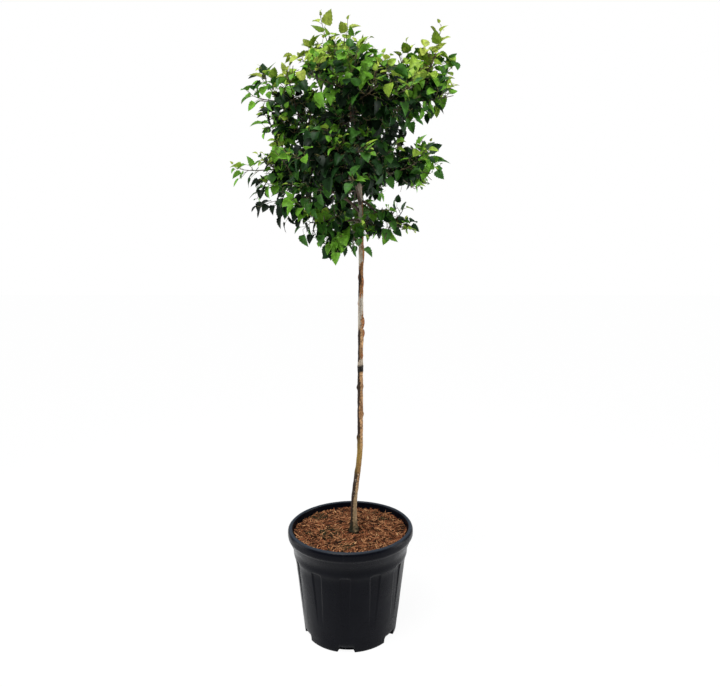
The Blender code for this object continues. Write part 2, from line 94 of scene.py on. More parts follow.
# %% White surroundings and lamps
world = bpy.data.worlds.new("studio")
world.use_nodes = True
bpy.context.scene.world = world
sky = world.node_tree
sky_light = sky.nodes["Background"]
sky_light.inputs["Color"].default_value = (0.93, 0.97, 1.0, 1)
sky_light.inputs["Strength"].default_value = 0.25
sky_seen = sky.nodes.new("ShaderNodeBackground")
sky_seen.inputs["Strength"].default_value = 1.0
sky_seen.inputs["Color"].default_value = (1, 1, 1, 1)
ray = sky.nodes.new("ShaderNodeLightPath")
either = sky.nodes.new("ShaderNodeMixShader")
sky.links.new(ray.outputs["Is Camera Ray"], either.inputs[0])
sky.links.new(sky_light.outputs[0], either.inputs[1])
sky.links.new(sky_seen.outputs[0], either.inputs[2])
sky.links.new(either.outputs[0], sky.nodes["World Output"].inputs["Surface"])


def add_lamp(name, kind, place, target, power, **settings):
    """A lamp at a place, turned towards a target. The camera doesn't see the lamp itself."""
    data = bpy.data.lights.new(name, kind)
    data.energy = power
    for setting, value in settings.items():
        setattr(data, setting, value)
    lamp = bpy.data.objects.new(name, data)
    lamp.location = place
    lamp.rotation_euler = (Vector(target) - Vector(place)).to_track_quat("-Z", "Y").to_euler()
    lamp.visible_camera = False
    bpy.context.scene.collection.objects.link(lamp)


add_lamp("sun", "SUN", (-0.6, -1.0, 2.4), (0, 0, 0), 2.75, angle=math.radians(28))
add_lamp("overhead", "AREA", (0.0, -1.2, 2.9), (0, 0, 0.8), 32, shape="RECTANGLE", size=4.0, size_y=1.1)
for side, power in ((-1, 16), (1, 22)):
    add_lamp(f"panel_{side}", "AREA", (1.7 * side, 0.1, 0.7), (0, 0, 0.45), power,
             shape="RECTANGLE", size=0.7, size_y=1.6)
print("lamps:", [light.name for light in bpy.data.lights])

# %% [markdown]
# ## Tools for surfaces
#
# Every surface below is worked out as whole arrays of points and handed to Blender in one go. That is much
# faster than adding points one by one, and the formula of a shape stays in one place. Two kinds are enough:
# a grid, such as a profile turned round an axis, and a tube carried along a path.


# %% Meshes from arrays
def mesh_of(name, points, *face_sets):
    """A smooth mesh from points (n, 3) and one or more sets of faces. A set's faces have the same number of
    corners."""
    mesh = bpy.data.meshes.new(name)
    corners = np.concatenate([faces.ravel() for faces in face_sets])
    sizes = np.concatenate([np.full(len(faces), faces.shape[1]) for faces in face_sets])
    mesh.vertices.add(len(points))
    mesh.vertices.foreach_set("co", np.ascontiguousarray(points, np.float32).ravel())
    mesh.loops.add(len(corners))
    mesh.loops.foreach_set("vertex_index", corners.astype(np.int32))
    mesh.polygons.add(len(sizes))
    mesh.polygons.foreach_set("loop_start", (np.cumsum(sizes) - sizes).astype(np.int32))
    mesh.polygons.foreach_set("use_smooth", np.ones(len(sizes), bool))
    mesh.update(calc_edges=True)
    mesh.validate()
    return mesh


def add_piece(name, mesh, look, nodes=(), paints=None):
    """Puts a finished piece in the scene. Paints are named values, one for each point, that its material
    reads."""
    for paint, values in (paints or {}).items():
        attribute = mesh.attributes.new(paint, "FLOAT", "POINT")
        attribute.data.foreach_set("value", np.ascontiguousarray(values, np.float32).ravel())
    mesh.materials.append(look.made)
    piece = bpy.data.objects.new(name, mesh)
    bpy.context.scene.collection.objects.link(piece)
    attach(piece, "root")
    if nodes:
        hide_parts(*nodes)
    print(f"{name}: {sum(len(face.vertices) - 2 for face in mesh.polygons)} triangles")
    return piece


def grid_faces(rows, columns, wrap=True):
    """Corner numbers of the quads between the points of a grid. With wrap, the last column meets the
    first."""
    across = np.arange(columns if wrap else columns - 1)
    after = (across + 1) % columns
    low = np.arange(rows - 1)[:, None] * columns
    corners = [low + across, low + after, low + columns + after, low + columns + across]
    return np.stack(corners, -1).reshape(-1, 4)


def unit(vectors):
    """Each vector divided by its own length."""
    return vectors / np.maximum(np.linalg.norm(vectors, axis=-1, keepdims=True), 1e-12)


def smooth_step(values):
    """0 below 0 and 1 above 1, and between them 3 t^2 - 2 t^3, which starts and ends level."""
    t = np.clip(values, 0, 1)
    return t * t * (3 - 2 * t)


WAVES = 28  # in each field of soft bumps


def rumple(points, size, seed, stretch=(1, 1, 1)):
    """Soft random bumps, mostly between -1 and 1 and about a size apart: a sum of sine waves that run in
    random directions."""
    dice = np.random.default_rng(seed)
    ways = unit(dice.normal(size=(WAVES, 3))) * dice.uniform(0.6, 1.5, (WAVES, 1)) * (2 * np.pi / size)
    phases = dice.uniform(0, 2 * np.pi, WAVES)
    return np.sin((points * stretch) @ ways.T + phases).sum(-1) / math.sqrt(WAVES)


def curve_through(points, count):
    """Points at even steps along a Catmull-Rom curve, which passes through each given point."""
    points = np.asarray(points, float)
    padded = np.concatenate([[2 * points[0] - points[1]], points, [2 * points[-1] - points[-2]]])
    place = np.linspace(0, len(points) - 1, count)
    i = np.minimum(place.astype(int), len(points) - 2)
    t = (place - i)[:, None]
    a, b, c, d = (padded[i + k] for k in range(4))
    return 0.5 * (2 * b + (c - a) * t + (2 * a - 5 * b + 4 * c - d) * t**2 + (3 * b - a - 3 * c + d) * t**3)


def ring_frames(paths):
    """Two directions square to each path at each of its points. The first stays as near as it can to the
    axis that the path runs along least, so a ring never twists."""
    along = unit(np.gradient(paths, axis=-2))
    chord = np.abs(paths[..., -1:, :] - paths[..., :1, :])
    reference = np.eye(3)[np.argmin(chord, -1)]
    across = unit(reference - along * (reference * along).sum(-1, keepdims=True))
    return across, np.cross(along, across)


def tube_points(paths, radii, sides):
    """Rings round paths: centre + radius * (cos a * across + sin a * other). Paths are (..., rings, 3), and
    radii are (..., rings), or (..., rings, sides) for a surface in relief."""
    turn = 2 * np.pi * np.arange(sides) / sides
    across, other = ring_frames(paths)
    if radii.ndim == paths.ndim - 1:
        radii = radii[..., None]
    round_it = np.cos(turn)[:, None] * across[..., None, :] + np.sin(turn)[:, None] * other[..., None, :]
    return paths[..., None, :] + radii[..., None] * round_it


def tube_faces(tubes, rings, sides):
    """Quads of many equal tubes, one after the other, and the faces that close their two ends."""
    first = (np.arange(tubes) * rings * sides)[:, None]
    walls = (grid_faces(rings, sides)[None] + first[..., None]).reshape(-1, 4)
    ring = np.arange(sides)
    return walls, first + ring[::-1], first + (rings - 1) * sides + ring


def tubes_mesh(name, paths, radii, sides):
    """Many round tubes in one mesh, closed at both ends."""
    points = tube_points(paths, radii, sides).reshape(-1, 3)
    return mesh_of(name, points, *tube_faces(len(paths), paths.shape[1], sides))


# %% [markdown]
# ## Tools for materials
#
# A material is a formula too. The class `Wire` stands for the outlet of a node, and Python's own operators
# add the Math node that does the sum, so `1 - mask * 0.5` can be written as it is meant. `Look` is the
# material itself, and its `node` method adds any other kind of node.


# %% Materials as formulas
class Wire:
    """The outlet of a node, which takes part in arithmetic."""

    def __init__(self, look, outlet):
        self.look = look
        self.outlet = outlet

    def maths(self, operation, first, second):
        """One sum of two values or wires, as a Math node."""
        return self.look.node("Math", {"operation": operation}, {0: first, 1: second})

    def __add__(self, other):
        return self.maths("ADD", self, other)

    def __sub__(self, other):
        return self.maths("SUBTRACT", self, other)

    def __rsub__(self, other):
        return self.maths("SUBTRACT", other, self)

    def __mul__(self, other):
        return self.maths("MULTIPLY", self, other)

    __radd__ = __add__
    __rmul__ = __mul__

    def band(self, low, high):
        """0 below the low value, 1 above the high one and a soft step between."""
        return self.look.node("MapRange", {"interpolation_type": "SMOOTHSTEP"}, {0: self, 1: low, 2: high})


class Look:
    """A material: one Principled shader, the values of its sockets, and the nodes that feed it."""

    def __init__(self, name, sockets):
        self.made = bpy.data.materials.new(name)
        self.made.use_nodes = True
        self.tree = self.made.node_tree
        self.shader = self.tree.nodes["Principled BSDF"]
        self.feed(self.shader, sockets)

    def feed(self, node, sockets):
        """Joins wires to a node's sockets and sets the others to plain values."""
        for key, value in sockets.items():
            if isinstance(value, Wire):
                self.tree.links.new(value.outlet, node.inputs[key])
            else:
                node.inputs[key].default_value = value

    def node(self, kind, settings=None, sockets=None, outlet=0):
        """Any node: its type, the settings that shape it, the values or wires of its sockets, and which
        outlet to use."""
        made = self.tree.nodes.new("ShaderNode" + kind)
        for key, value in (settings or {}).items():
            setattr(made, key, value)
        self.feed(made, sockets or {})
        return Wire(self, made.outputs[outlet])

    def place(self, stretch=(1, 1, 1)):
        """The point's place in metres, with each axis stretched."""
        spot = self.node("TexCoord", outlet="Object")
        return self.node("Mapping", None, {"Vector": spot, "Scale": stretch})

    def noise(self, size, detail=2.0, stretch=(1, 1, 1), roughness=0.5):
        """Soft random patches about a size across. A larger stretch makes them narrower on that axis."""
        sockets = {"Vector": self.place(stretch), "Scale": 1 / size, "Detail": detail, "Roughness": roughness}
        return self.node("TexNoise", None, sockets)

    def paint(self, name):
        """A value that the mesh carries at each of its points."""
        return self.node("Attribute", {"attribute_name": name}, outlet="Fac")

    def blend(self, share, first, second):
        """A colour between two: the first where the share is 0 and the second where it is 1."""
        return self.node("Mix", {"data_type": "RGBA"}, {0: share, 6: first, 7: second}, outlet=2)

    def bump(self, height, depth):
        """Shades the surface as if it rose by the height, where a height of 1 is that depth in metres."""
        return self.node("Bump", None, {"Height": height, "Distance": depth, "Strength": 1.0})

    def finish(self, base_colour, roughness, normal=None):
        """Joins what varies over the surface to the shader."""
        sockets = {"Base Color": base_colour, "Roughness": roughness}
        if normal:
            sockets["Normal"] = normal
        self.feed(self.shader, sockets)


def colour(red, green, blue):
    """A colour as given on a screen, 0 to 255, as the linear light that a shader needs."""
    share = np.array([red, green, blue]) / 255
    linear = np.where(share <= 0.04045, share / 12.92, ((share + 0.055) / 1.055) ** 2.4)
    return (*linear.tolist(), 1.0)


# %% [markdown]
# ## The floor
#
# The floor is only there to stand on. It is matt and nearly white, and it throws its light back up at the
# pot. A studio floor is so strongly lit that hardly any shadow is left on it, so the camera sees most of it
# as plain white.

# %% Floor
FLOOR_WHITE = (0.89, 0.89, 0.89, 1)
FLOOR_GLARE = 0.94  # how much of the shadow is lost to the camera


def floor_paint():
    """White paint, mixed with a plain white for the camera's own rays only."""
    made = bpy.data.materials.new("floor")
    made.use_nodes = True
    nodes, links = made.node_tree.nodes, made.node_tree.links
    paint = nodes["Principled BSDF"]
    paint.inputs["Base Color"].default_value = FLOOR_WHITE
    paint.inputs["Roughness"].default_value = 0.9
    glare = nodes.new("ShaderNodeEmission")
    seen = nodes.new("ShaderNodeLightPath")
    share = nodes.new("ShaderNodeMath")
    share.operation = "MULTIPLY"
    share.inputs[1].default_value = FLOOR_GLARE
    links.new(seen.outputs["Is Camera Ray"], share.inputs[0])
    either = nodes.new("ShaderNodeMixShader")
    links.new(share.outputs[0], either.inputs[0])
    links.new(paint.outputs[0], either.inputs[1])
    links.new(glare.outputs[0], either.inputs[2])
    links.new(either.outputs[0], nodes["Material Output"].inputs["Surface"])
    return made


FLOOR_REACH = 30.0
floor_corners = FLOOR_REACH * np.array([(-1, -1, 0), (1, -1, 0), (-1, 1, 0), (1, 1, 0)], float)
floor = bpy.data.objects.new("floor", mesh_of("floor", floor_corners, grid_faces(2, 2, wrap=False)))
floor.data.materials.append(floor_paint())
bpy.context.scene.collection.objects.link(floor)

# %% [markdown]
# ## The pot
#
# A nursery pot is blow-moulded from black polythene: a straight taper, a collar, a heavy rolled lip, long
# shallow flutes that stiffen the wall, and drainage notches at the foot. It could be cut with Booleans as
# the plain model is, but moulded plastic has no sharp cuts. Here the wall is one grid of angle by profile,
# and each flute is a smooth hollow pressed into it, so every edge is round as it left the mould.

# %% Sizes of the pot, from the plain model and as the maker gives them
POT_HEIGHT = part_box("pot")[1].z
RIM_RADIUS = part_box("pot")[1].x
RIM_WIDTH = 0.0115
LIP_HEIGHT = 0.024
COLLAR_RADIUS = 0.1465
COLLAR_TOP = 0.2090
COLLAR_BOTTOM = 0.1935
BODY_TOP_RADIUS = 0.1410
BODY_TOP = 0.1805
BASE_RADIUS = 0.117
POT_WALL = 0.005
POT_FLOOR = 0.008
FLUTES = 12
FLUTE_TURN = math.radians(-93)
FLUTE_WIDTH = 0.027
FLUTE_FOOT_WIDTH = 0.015
FLUTE_DEPTH = 0.0028
FLUTE_TOP = 0.1925
FLUTE_BOTTOM = 0.060
FLUTE_EDGE = 0.0022  # how wide the soft edge of a flute is
FLUTE_HEAD_EDGE = 0.004  # the same at its rounded head
FLUTE_HEAD_SLOPE = 0.35  # how fast the head falls off to its sides
NOTCHES = 6
NOTCH_TOP_WIDTH = 0.033
NOTCH_FOOT_WIDTH = 0.041
NOTCH_HEIGHT = 0.013
NOTCH_REACH = 0.012
POT_COLUMNS = 540
POT_STEP = 0.007  # the longest step of its profile
POT_WOBBLE = 0.0003  # how far the moulded wall strays from a true round
FLOOR_HOLE = 0.030  # radius at which the profile starts under the floor
HIGHLIGHT_DEPTH = 0.0030  # how far down the lip the painted highlight reaches
HIGHLIGHT_EDGE = 0.0018
print(f"pot: {POT_HEIGHT:.3f} high, {2 * RIM_RADIUS:.3f} across the rim")


# %% The pot's profile
def rounded(corners, steps=5):
    """A path through (radius, height, cut) corners. Each corner is replaced by the curve (1-t)^2 A +
    2t(1-t) C + t^2 B, where A and B lie a cut before and after the corner C, or less than halfway to the
    next corner."""
    corners = np.array(corners, float)
    path = [corners[0, :2]]
    t = np.linspace(0, 1, steps)[:, None]
    for before, corner, after in zip(corners, corners[1:], corners[2:]):
        back, on = before[:2] - corner[:2], after[:2] - corner[:2]
        start = corner[:2] + min(corner[2], 0.48 * np.linalg.norm(back)) * unit(back)
        end = corner[:2] + min(corner[2], 0.48 * np.linalg.norm(on)) * unit(on)
        path.extend((1 - t) ** 2 * start + 2 * t * (1 - t) * corner[:2] + t**2 * end)
    path.append(corners[-1, :2])
    return np.array(path)


def denser(path, step):
    """The same path with points added, so that no two neighbours are further apart than the step."""
    gaps = np.linalg.norm(np.diff(path, axis=0), axis=1)
    runs = [np.linspace(a, b, max(1, math.ceil(gap / step)), endpoint=False)
            for a, b, gap in zip(path, path[1:], gaps)]
    return np.concatenate([*runs, path[-1:]])


def pot_profile():
    """From under the floor out to the foot, up the wall, over the rolled lip and down the inside to the
    floor."""
    lip_low = POT_HEIGHT - LIP_HEIGHT
    inner = RIM_RADIUS - RIM_WIDTH
    corners = [
        (FLOOR_HOLE, 0.0, 0),
        (BASE_RADIUS - NOTCH_REACH, 0.0, 0.001),
        (BASE_RADIUS, 0.0, 0.002),
        (BODY_TOP_RADIUS, BODY_TOP, 0.010),
        (COLLAR_RADIUS - 0.0005, COLLAR_BOTTOM, 0.006),
        (COLLAR_RADIUS, COLLAR_TOP, 0.009),
        (RIM_RADIUS - 0.0035, lip_low, 0.002),
        (RIM_RADIUS, lip_low + 0.005, 0.004),
        (RIM_RADIUS, POT_HEIGHT - 0.005, 0.005),
        (RIM_RADIUS - 0.0055, POT_HEIGHT + 0.0004, 0.004),
        (inner, POT_HEIGHT - 0.0008, 0.004),
        (inner - 0.001, POT_HEIGHT - 0.010, 0.004),
        (COLLAR_RADIUS - POT_WALL, COLLAR_TOP, 0.004),
        (BASE_RADIUS - POT_WALL, POT_FLOOR + 0.009, 0.003),
        (FLOOR_HOLE, POT_FLOOR + 0.009, 0),
    ]
    return denser(rounded(corners), POT_STEP)


# %% The wall in relief
def pot_surface():
    """Radius and height at (profile place, angle): the turned profile, less the flutes, with the foot drawn
    in at each notch. A flute's depth is its share of the height times a soft step at its edges."""
    profile = pot_profile()
    angle = 2 * np.pi * np.arange(POT_COLUMNS) / POT_COLUMNS
    radius, height = (np.repeat(profile[:, k : k + 1], POT_COLUMNS, 1) for k in range(2))
    outside = (np.arange(len(profile)) < np.argmax(profile[:, 0]))[:, None]

    pitch = 2 * np.pi / FLUTES
    arc = radius * np.abs((angle - FLUTE_TURN + pitch / 2) % pitch - pitch / 2)
    rise = np.clip((height - FLUTE_BOTTOM) / (FLUTE_TOP - FLUTE_BOTTOM), 0, 1)
    half_width = (FLUTE_FOOT_WIDTH + (FLUTE_WIDTH - FLUTE_FOOT_WIDTH) * rise) / 2
    head = FLUTE_TOP - FLUTE_HEAD_SLOPE * np.maximum(arc - 0.5 * half_width, 0)
    flute = smooth_step((half_width - arc) / FLUTE_EDGE + 0.5)
    flute = flute * smooth_step((head - height) / FLUTE_HEAD_EDGE)
    radius = radius - outside * FLUTE_DEPTH * rise**0.7 * flute

    pitch = 2 * np.pi / NOTCHES
    arc = BASE_RADIUS * np.abs((angle - FLUTE_TURN + pitch / 2) % pitch - pitch / 2)
    opened = np.clip((NOTCH_FOOT_WIDTH / 2 - arc) / ((NOTCH_FOOT_WIDTH - NOTCH_TOP_WIDTH) / 2), 0, 1)
    back = BASE_RADIUS - NOTCH_REACH
    skirt = outside & (height < NOTCH_HEIGHT) & (radius > back)
    share = np.clip((radius - back) / NOTCH_REACH, 0, 1) * np.clip(1 - height / NOTCH_HEIGHT, 0, 1)
    radius = np.where(skirt, radius - opened * share * (radius - back), radius)
    height = np.where(skirt, height + opened * share * (NOTCH_HEIGHT - height), height)
    points = np.stack([radius * np.cos(angle), radius * np.sin(angle), height], -1)
    wobble = rumple(points, 0.09, 3)[..., None] * POT_WOBBLE * (height > 0.02)[..., None]
    return points + wobble * unit(points * (1, 1, 0))


pot_points = pot_surface()
pot_rows = len(pot_points)
pot_ring = np.arange(POT_COLUMNS)[None]
pot_caps = (pot_ring[:, ::-1], pot_ring + (pot_rows - 1) * POT_COLUMNS)
pot_mesh = mesh_of("pot_wall", pot_points.reshape(-1, 3), grid_faces(pot_rows, POT_COLUMNS), *pot_caps)

# %% [markdown]
# ### Black polythene
#
# Black plastic is never quite black: it has a satin skin that takes long soft reflections, a faint grain
# from the mould, patches of dust and pale upright scuffs where pots have rubbed against each other. Along the
# top of the lip a pale bluish band is painted as a highlight, where the lamps overhead would glint. The
# colour hardly changes otherwise, so most of the finish is in the roughness and in a fine bump. The painted
# highlight is a value on the mesh.

# %% Plastic
plastic = Look("black_plastic", {"Specular IOR Level": 0.06})
scuffs = plastic.noise(0.012, 4, (1, 1, 0.12), 0.6).band(0.60, 0.80)
dust = plastic.noise(0.05, 5, roughness=0.65).band(0.45, 0.85)
black = plastic.blend(dust * 0.3, colour(6, 7, 13), colour(18, 19, 26))
# painted highlight: the top of the lip is made paler and bluish, in place of a reflection of the lamps
black = plastic.blend(plastic.paint("painted_crest_highlight") * 0.8, black, colour(50, 56, 64))
plastic.finish(
    base_colour=plastic.blend(scuffs * 0.15, black, colour(42, 45, 50)),
    roughness=0.24 + dust * 0.16 + scuffs * 0.15 + plastic.noise(0.004) * 0.08,
    normal=plastic.bump(plastic.noise(0.0016, 3) + plastic.noise(0.03, 2) * 4, 0.00016),
)
# where the painted highlight lies: the top few millimetres of the lip
pot_painted_highlight = smooth_step((pot_points[..., 2] - POT_HEIGHT + HIGHLIGHT_DEPTH) / HIGHLIGHT_EDGE)
add_piece("pot_wall", pot_mesh, plastic, ["pot"], {"painted_crest_highlight": pot_painted_highlight})


# %% [markdown]
# ## The mulch
#
# The pot is topped with shredded bark: thousands of flat splinters that lie over one another, with paler
# heartwood chips among them, on a bed that is hollow round the stem. A bump alone would look like carpet,
# so each splinter is a real one. They share one template of fourteen faces, and arrays give each its own
# place, turn, size and bend.


# %% The bed
def inner_radius(height):
    """Radius of the pot's inner wall at a height near the rim."""
    share = (height - COLLAR_TOP) / (POT_HEIGHT - 0.010 - COLLAR_TOP)
    return COLLAR_RADIUS - POT_WALL + (RIM_RADIUS - RIM_WIDTH - 0.001 - COLLAR_RADIUS + POT_WALL) * share


SOIL_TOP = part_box("soil")[1].z
BED_RADIUS = inner_radius(SOIL_TOP - 0.004) - 0.0006  # just clear of the wall
STEM_FOOT = np.array([0.0083, -0.008])
EDGE_DROP = 0.004  # how much lower the bed is at the wall
HOLLOW_RADIUS = 0.030
HOLLOW_DEPTH = 0.0045
MOUNDS = 0.0014  # typical heights
CRUMBS = 0.0006
BED_ROWS = 60
BED_COLUMNS = 180


def bed_height(x, y):
    """The soil's level, a little lower at the wall, with soft mounds and a hollow round the stem."""
    spot = np.stack([x, y, np.zeros_like(x)], -1)
    edge = EDGE_DROP * (np.hypot(x, y) / BED_RADIUS) ** 2
    from_stem = (x - STEM_FOOT[0]) ** 2 + (y - STEM_FOOT[1]) ** 2
    hollow = HOLLOW_DEPTH * np.exp(-(from_stem / HOLLOW_RADIUS**2))
    return SOIL_TOP - edge - hollow + MOUNDS * rumple(spot, 0.045, 11) + CRUMBS * rumple(spot, 0.012, 12)


bed_reach, bed_angle = np.meshgrid(
    np.linspace(0.002, BED_RADIUS, BED_ROWS), np.linspace(0, 2 * np.pi, BED_COLUMNS, False), indexing="ij")
bed_x, bed_y = bed_reach * np.cos(bed_angle), bed_reach * np.sin(bed_angle)
bed_points = np.stack([bed_x, bed_y, bed_height(bed_x, bed_y)], -1).reshape(-1, 3)
bed_faces = grid_faces(BED_ROWS, BED_COLUMNS)[:, ::-1]
bed_mesh = mesh_of("mulch_bed", bed_points, bed_faces, np.arange(BED_COLUMNS)[None])

# %% The splinters
CHIP_ALONG = np.array([-0.5, -0.22, 0.24, 0.5])
CHIP_WIDE = np.array([0.30, 1.0, 0.85, 0.25])
CHIP_THICK = np.array([0.45, 1.0, 0.90, 0.35])
CHIP_CORNERS = np.array([(-0.5, -0.5), (0.5, -0.5), (0.5, 0.5), (-0.5, 0.5)])
CHIP_SHORT = 1.6  # the higher it is, the more of them are short
CHIP_FLAT = (0.25, 0.5)  # thickness as a share of the width
CHIP_BEND = 6.0  # typical bend, in 1/m
CHIP_PITCH = 0.22  # typical tilts, in radians
CHIP_ROLL = 0.5
STEM_ROOM = 0.0145  # kept free round the middle of the stem
RIM_ROOM = 0.006  # kept free below the rim


def chip_shapes(length, width, thick, bend):
    """Splinters along X: four rings of four corners, widest in the middle and bent by a bend * x^2."""
    x = length[:, None, None] * CHIP_ALONG[:, None] + 0 * CHIP_CORNERS[:, 0]
    y = width[:, None, None] * CHIP_WIDE[:, None] * CHIP_CORNERS[:, 0]
    z = thick[:, None, None] * CHIP_THICK[:, None] * CHIP_CORNERS[:, 1] + bend[:, None, None] * x * x
    return np.stack([x, y, z], -1)


def turned(points, yaw, pitch, roll):
    """Points (n, ..., 3) turned by roll about X, then by pitch about Y, then by yaw about Z."""
    c, s = np.cos(roll), np.sin(roll)
    nil, one = np.zeros_like(c), np.ones_like(c)
    rolled = np.array([[one, nil, nil], [nil, c, -s], [nil, s, c]])
    c, s = np.cos(pitch), np.sin(pitch)
    pitched = np.array([[c, nil, s], [nil, one, nil], [-s, nil, c]])
    c, s = np.cos(yaw), np.sin(yaw)
    yawed = np.array([[c, -s, nil], [s, c, nil], [nil, nil, one]])
    turn = np.einsum("ijn,jkn,kln->nil", yawed, pitched, rolled)
    return np.einsum("nij,n...j->n...i", turn, points)


def scatter_chips(count, seed, length, width, lift, patches=None):
    """Splinters strewn evenly over the bed, or thickly in patches of it. One that would reach the wall or
    the stem is dropped."""
    dice = np.random.default_rng(seed)
    reach = BED_RADIUS * np.sqrt(dice.uniform(0, 1, count))
    angle = dice.uniform(0, 2 * np.pi, count)
    x, y = reach * np.cos(angle), reach * np.sin(angle)
    size = dice.uniform(0, 1, count) ** CHIP_SHORT
    long = length[0] + (length[1] - length[0]) * size
    wide = dice.uniform(*width, count)
    thick = wide * dice.uniform(*CHIP_FLAT, count)
    shapes = chip_shapes(long, wide, thick, dice.normal(0, CHIP_BEND, count))
    yaw = dice.uniform(0, 2 * np.pi, count)
    shapes = turned(shapes, yaw, dice.normal(0, CHIP_PITCH, count), dice.normal(0, CHIP_ROLL, count))
    centre = np.stack([x, y, bed_height(x, y) + dice.uniform(*lift, count)], -1)
    points = shapes + centre[:, None, None]
    if patches is not None:
        spots = np.array(patches)
        share = 1 - (np.hypot(x[:, None] - spots[:, 0], y[:, None] - spots[:, 1]) / spots[:, 2]).min(1) ** 2
        points = points[dice.uniform(0, 1, count) < share]
    far = np.hypot(points[..., 0], points[..., 1]).max((1, 2))
    near = np.hypot(points[..., 0] - STEM_FOOT[0], points[..., 1] - STEM_FOOT[1]).min((1, 2))
    low = points[..., 2].max((1, 2)) < POT_HEIGHT - RIM_ROOM
    return points[(far < BED_RADIUS + 0.0005) & (near > STEM_ROOM) & low]


# %% [markdown]
# ### Colours of the mulch
#
# Weathered bark is red-brown, dark where it is wet, and the torn heartwood chips are tan. Here and there
# crumbs of moss lie in damp patches. A colour has its place here only splinter by splinter, so each colour
# is a piece of its own, with fibres drawn along it by a fine stretched noise.


# %% Mulch finishes and pieces
def mulch_look(name, dark, pale):
    """Dry torn bark, dark and pale by turns across its fibres."""
    look = Look(name, {"Specular IOR Level": 0.12})
    fibre = look.noise(0.0022, 3, (1, 1, 2.5), 0.6).band(0.35, 0.68)
    look.finish(
        base_colour=look.blend(fibre, dark, pale),
        roughness=0.78 + fibre * 0.14,
        normal=look.bump(look.noise(0.0012, 3), 0.0004),
    )
    return look


bed_look = mulch_look("mulch_bed", colour(26, 15, 9), colour(66, 39, 23))
add_piece("mulch_bed", bed_mesh, bed_look, ["soil"])
CHIPS = {  # name: (count, dark, pale, ranges of length, width and lift)
    "red": (2200, colour(77, 40, 24), colour(144, 90, 58),
            (0.006, 0.026), (0.0014, 0.0040), (-0.0005, 0.0042)),
    "brown": (2200, colour(50, 29, 17), colour(104, 64, 38),
              (0.006, 0.024), (0.0014, 0.0042), (-0.0008, 0.0030)),
    "dark": (2500, colour(20, 12, 7), colour(46, 29, 18),
             (0.005, 0.020), (0.0018, 0.0050), (-0.0010, 0.0024)),
    "tan": (820, colour(120, 78, 48), colour(182, 132, 92),
            (0.007, 0.027), (0.0013, 0.0030), (0.0014, 0.0052)),
    "straw": (70, colour(150, 112, 74), colour(198, 156, 112),
              (0.009, 0.029), (0.0015, 0.0036), (0.0018, 0.0040)),
    "moss": (5200, colour(26, 25, 14), colour(58, 52, 30),
             (0.004, 0.013), (0.0016, 0.0045), (0.0010, 0.0046)),
}
MOSS_PATCHES = (  # (x, y, reach) of the damp places
    (-0.088, 0.077, 0.032), (-0.052, -0.026, 0.038), (-0.006, -0.100, 0.024), (0.010, -0.008, 0.026),
    (0.085, 0.060, 0.016), (-0.105, -0.020, 0.014), (0.060, 0.105, 0.018),
)
for seed, (name, (count, dark, pale, length, width, lift)) in enumerate(CHIPS.items()):
    patches = MOSS_PATCHES if name == "moss" else None
    chip_points = scatter_chips(count, 40 + seed, length, width, lift, patches)
    chip_mesh = mesh_of("mulch_" + name, chip_points.reshape(-1, 3), *tube_faces(len(chip_points), 4, 4))
    chip_look = mulch_look("mulch_" + name, dark, pale)
    add_piece("mulch_" + name, chip_mesh, chip_look).data.shade_flat()
    print("splinters:", len(chip_points))

# %% [markdown]
# ## The stem and its boughs
#
# A young birch has two barks. The old outer one is orange-brown and dotted with level dark pores, and it
# peels away in curls from a cream-white one. The stem is one tube whose radius changes with angle and
# height: the root flare, old twig scars, a dark ring where a bough was cut, and the thickness of the bark
# layers. Where each bark lies is a value on the mesh, worked out by the same formula that raises it, so
# colour and relief always meet.

# %% Sizes of the limbs
TRUNK_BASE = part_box("trunk")[0].z
TRUNK_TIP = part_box("trunk")[1].z
FLARE_RADIUS = 0.0125
FLARE_HEIGHT = 0.045
STEM_FOOT_RADIUS = 0.0078
STEM_HEAD_RADIUS = 0.0060
TRUNK_TIP_RADIUS = 0.0028
CROWN_BASE = 1.065
TRUNK_LINE = (  # points on the trunk's centre line
    (0.0083, -0.008, TRUNK_BASE),
    (0.0089, -0.008, 0.316),
    (0.0165, -0.006, 0.383),
    (0.0240, -0.004, 0.455),
    (0.0250, -0.001, 0.620),
    (0.0262, 0.002, 0.840),
    (0.0266, 0.001, CROWN_BASE),
    (0.0150, 0.000, 1.210),
    (-0.0120, 0.002, 1.395),
)
TRUNK_RINGS = 620
TRUNK_SIDES = 44
KNOBS = (  # (direction seen from above in degrees, height, how far it stands out, half its height)
    (178, 0.612, 0.0026, 0.005),
    (-4, 0.615, 0.0016, 0.005),
    (-2, 0.543, 0.0024, 0.005),
    (184, 0.483, 0.0024, 0.006),
    (-20, 0.736, 0.0018, 0.008),
    (70, 0.700, 0.0022, 0.005),
    (120, 0.430, 0.0020, 0.005),
    (60, 0.900, 0.0018, 0.005),
    (200, 0.985, 0.0014, 0.004),
    (95, 0.330, 0.0020, 0.006),
)
KNOB_WIDTH = 0.42  # in radians
SCAR = (0.6510, 0.6690)  # the dark ring
ALGAE_LEVEL = 0.437
ALGAE_REACH = 0.062
MOSS_REACH = 0.040  # above the soil
FOOT_TOP = 0.385  # below it the bark is greyer
RUST_FOOT = 0.755  # above it the bark is redder
SHADE_TOP = 0.93  # below it the side towards -X is painted dark as shade
LEADER_FOOT = 1.12  # above it the bark is young and dark, a dark that also paints the shade inside the crown
ROOT_RIBS = 5
ROOT_RIB_RISE = 0.0011
ROOT_RUMPLE = 0.0006
BARK_RUMPLE = (0.00035, 0.00016)  # how far its wide and its narrow bumps rise
WHITE_RISE = 0.00028
SCAR_RISE = 0.0009
WHITE_SIDED = 0.42  # how much more white there is on one side
WHITE_START = 0.42  # the sum of its shares at which it begins
WHITE_EDGE = 0.12
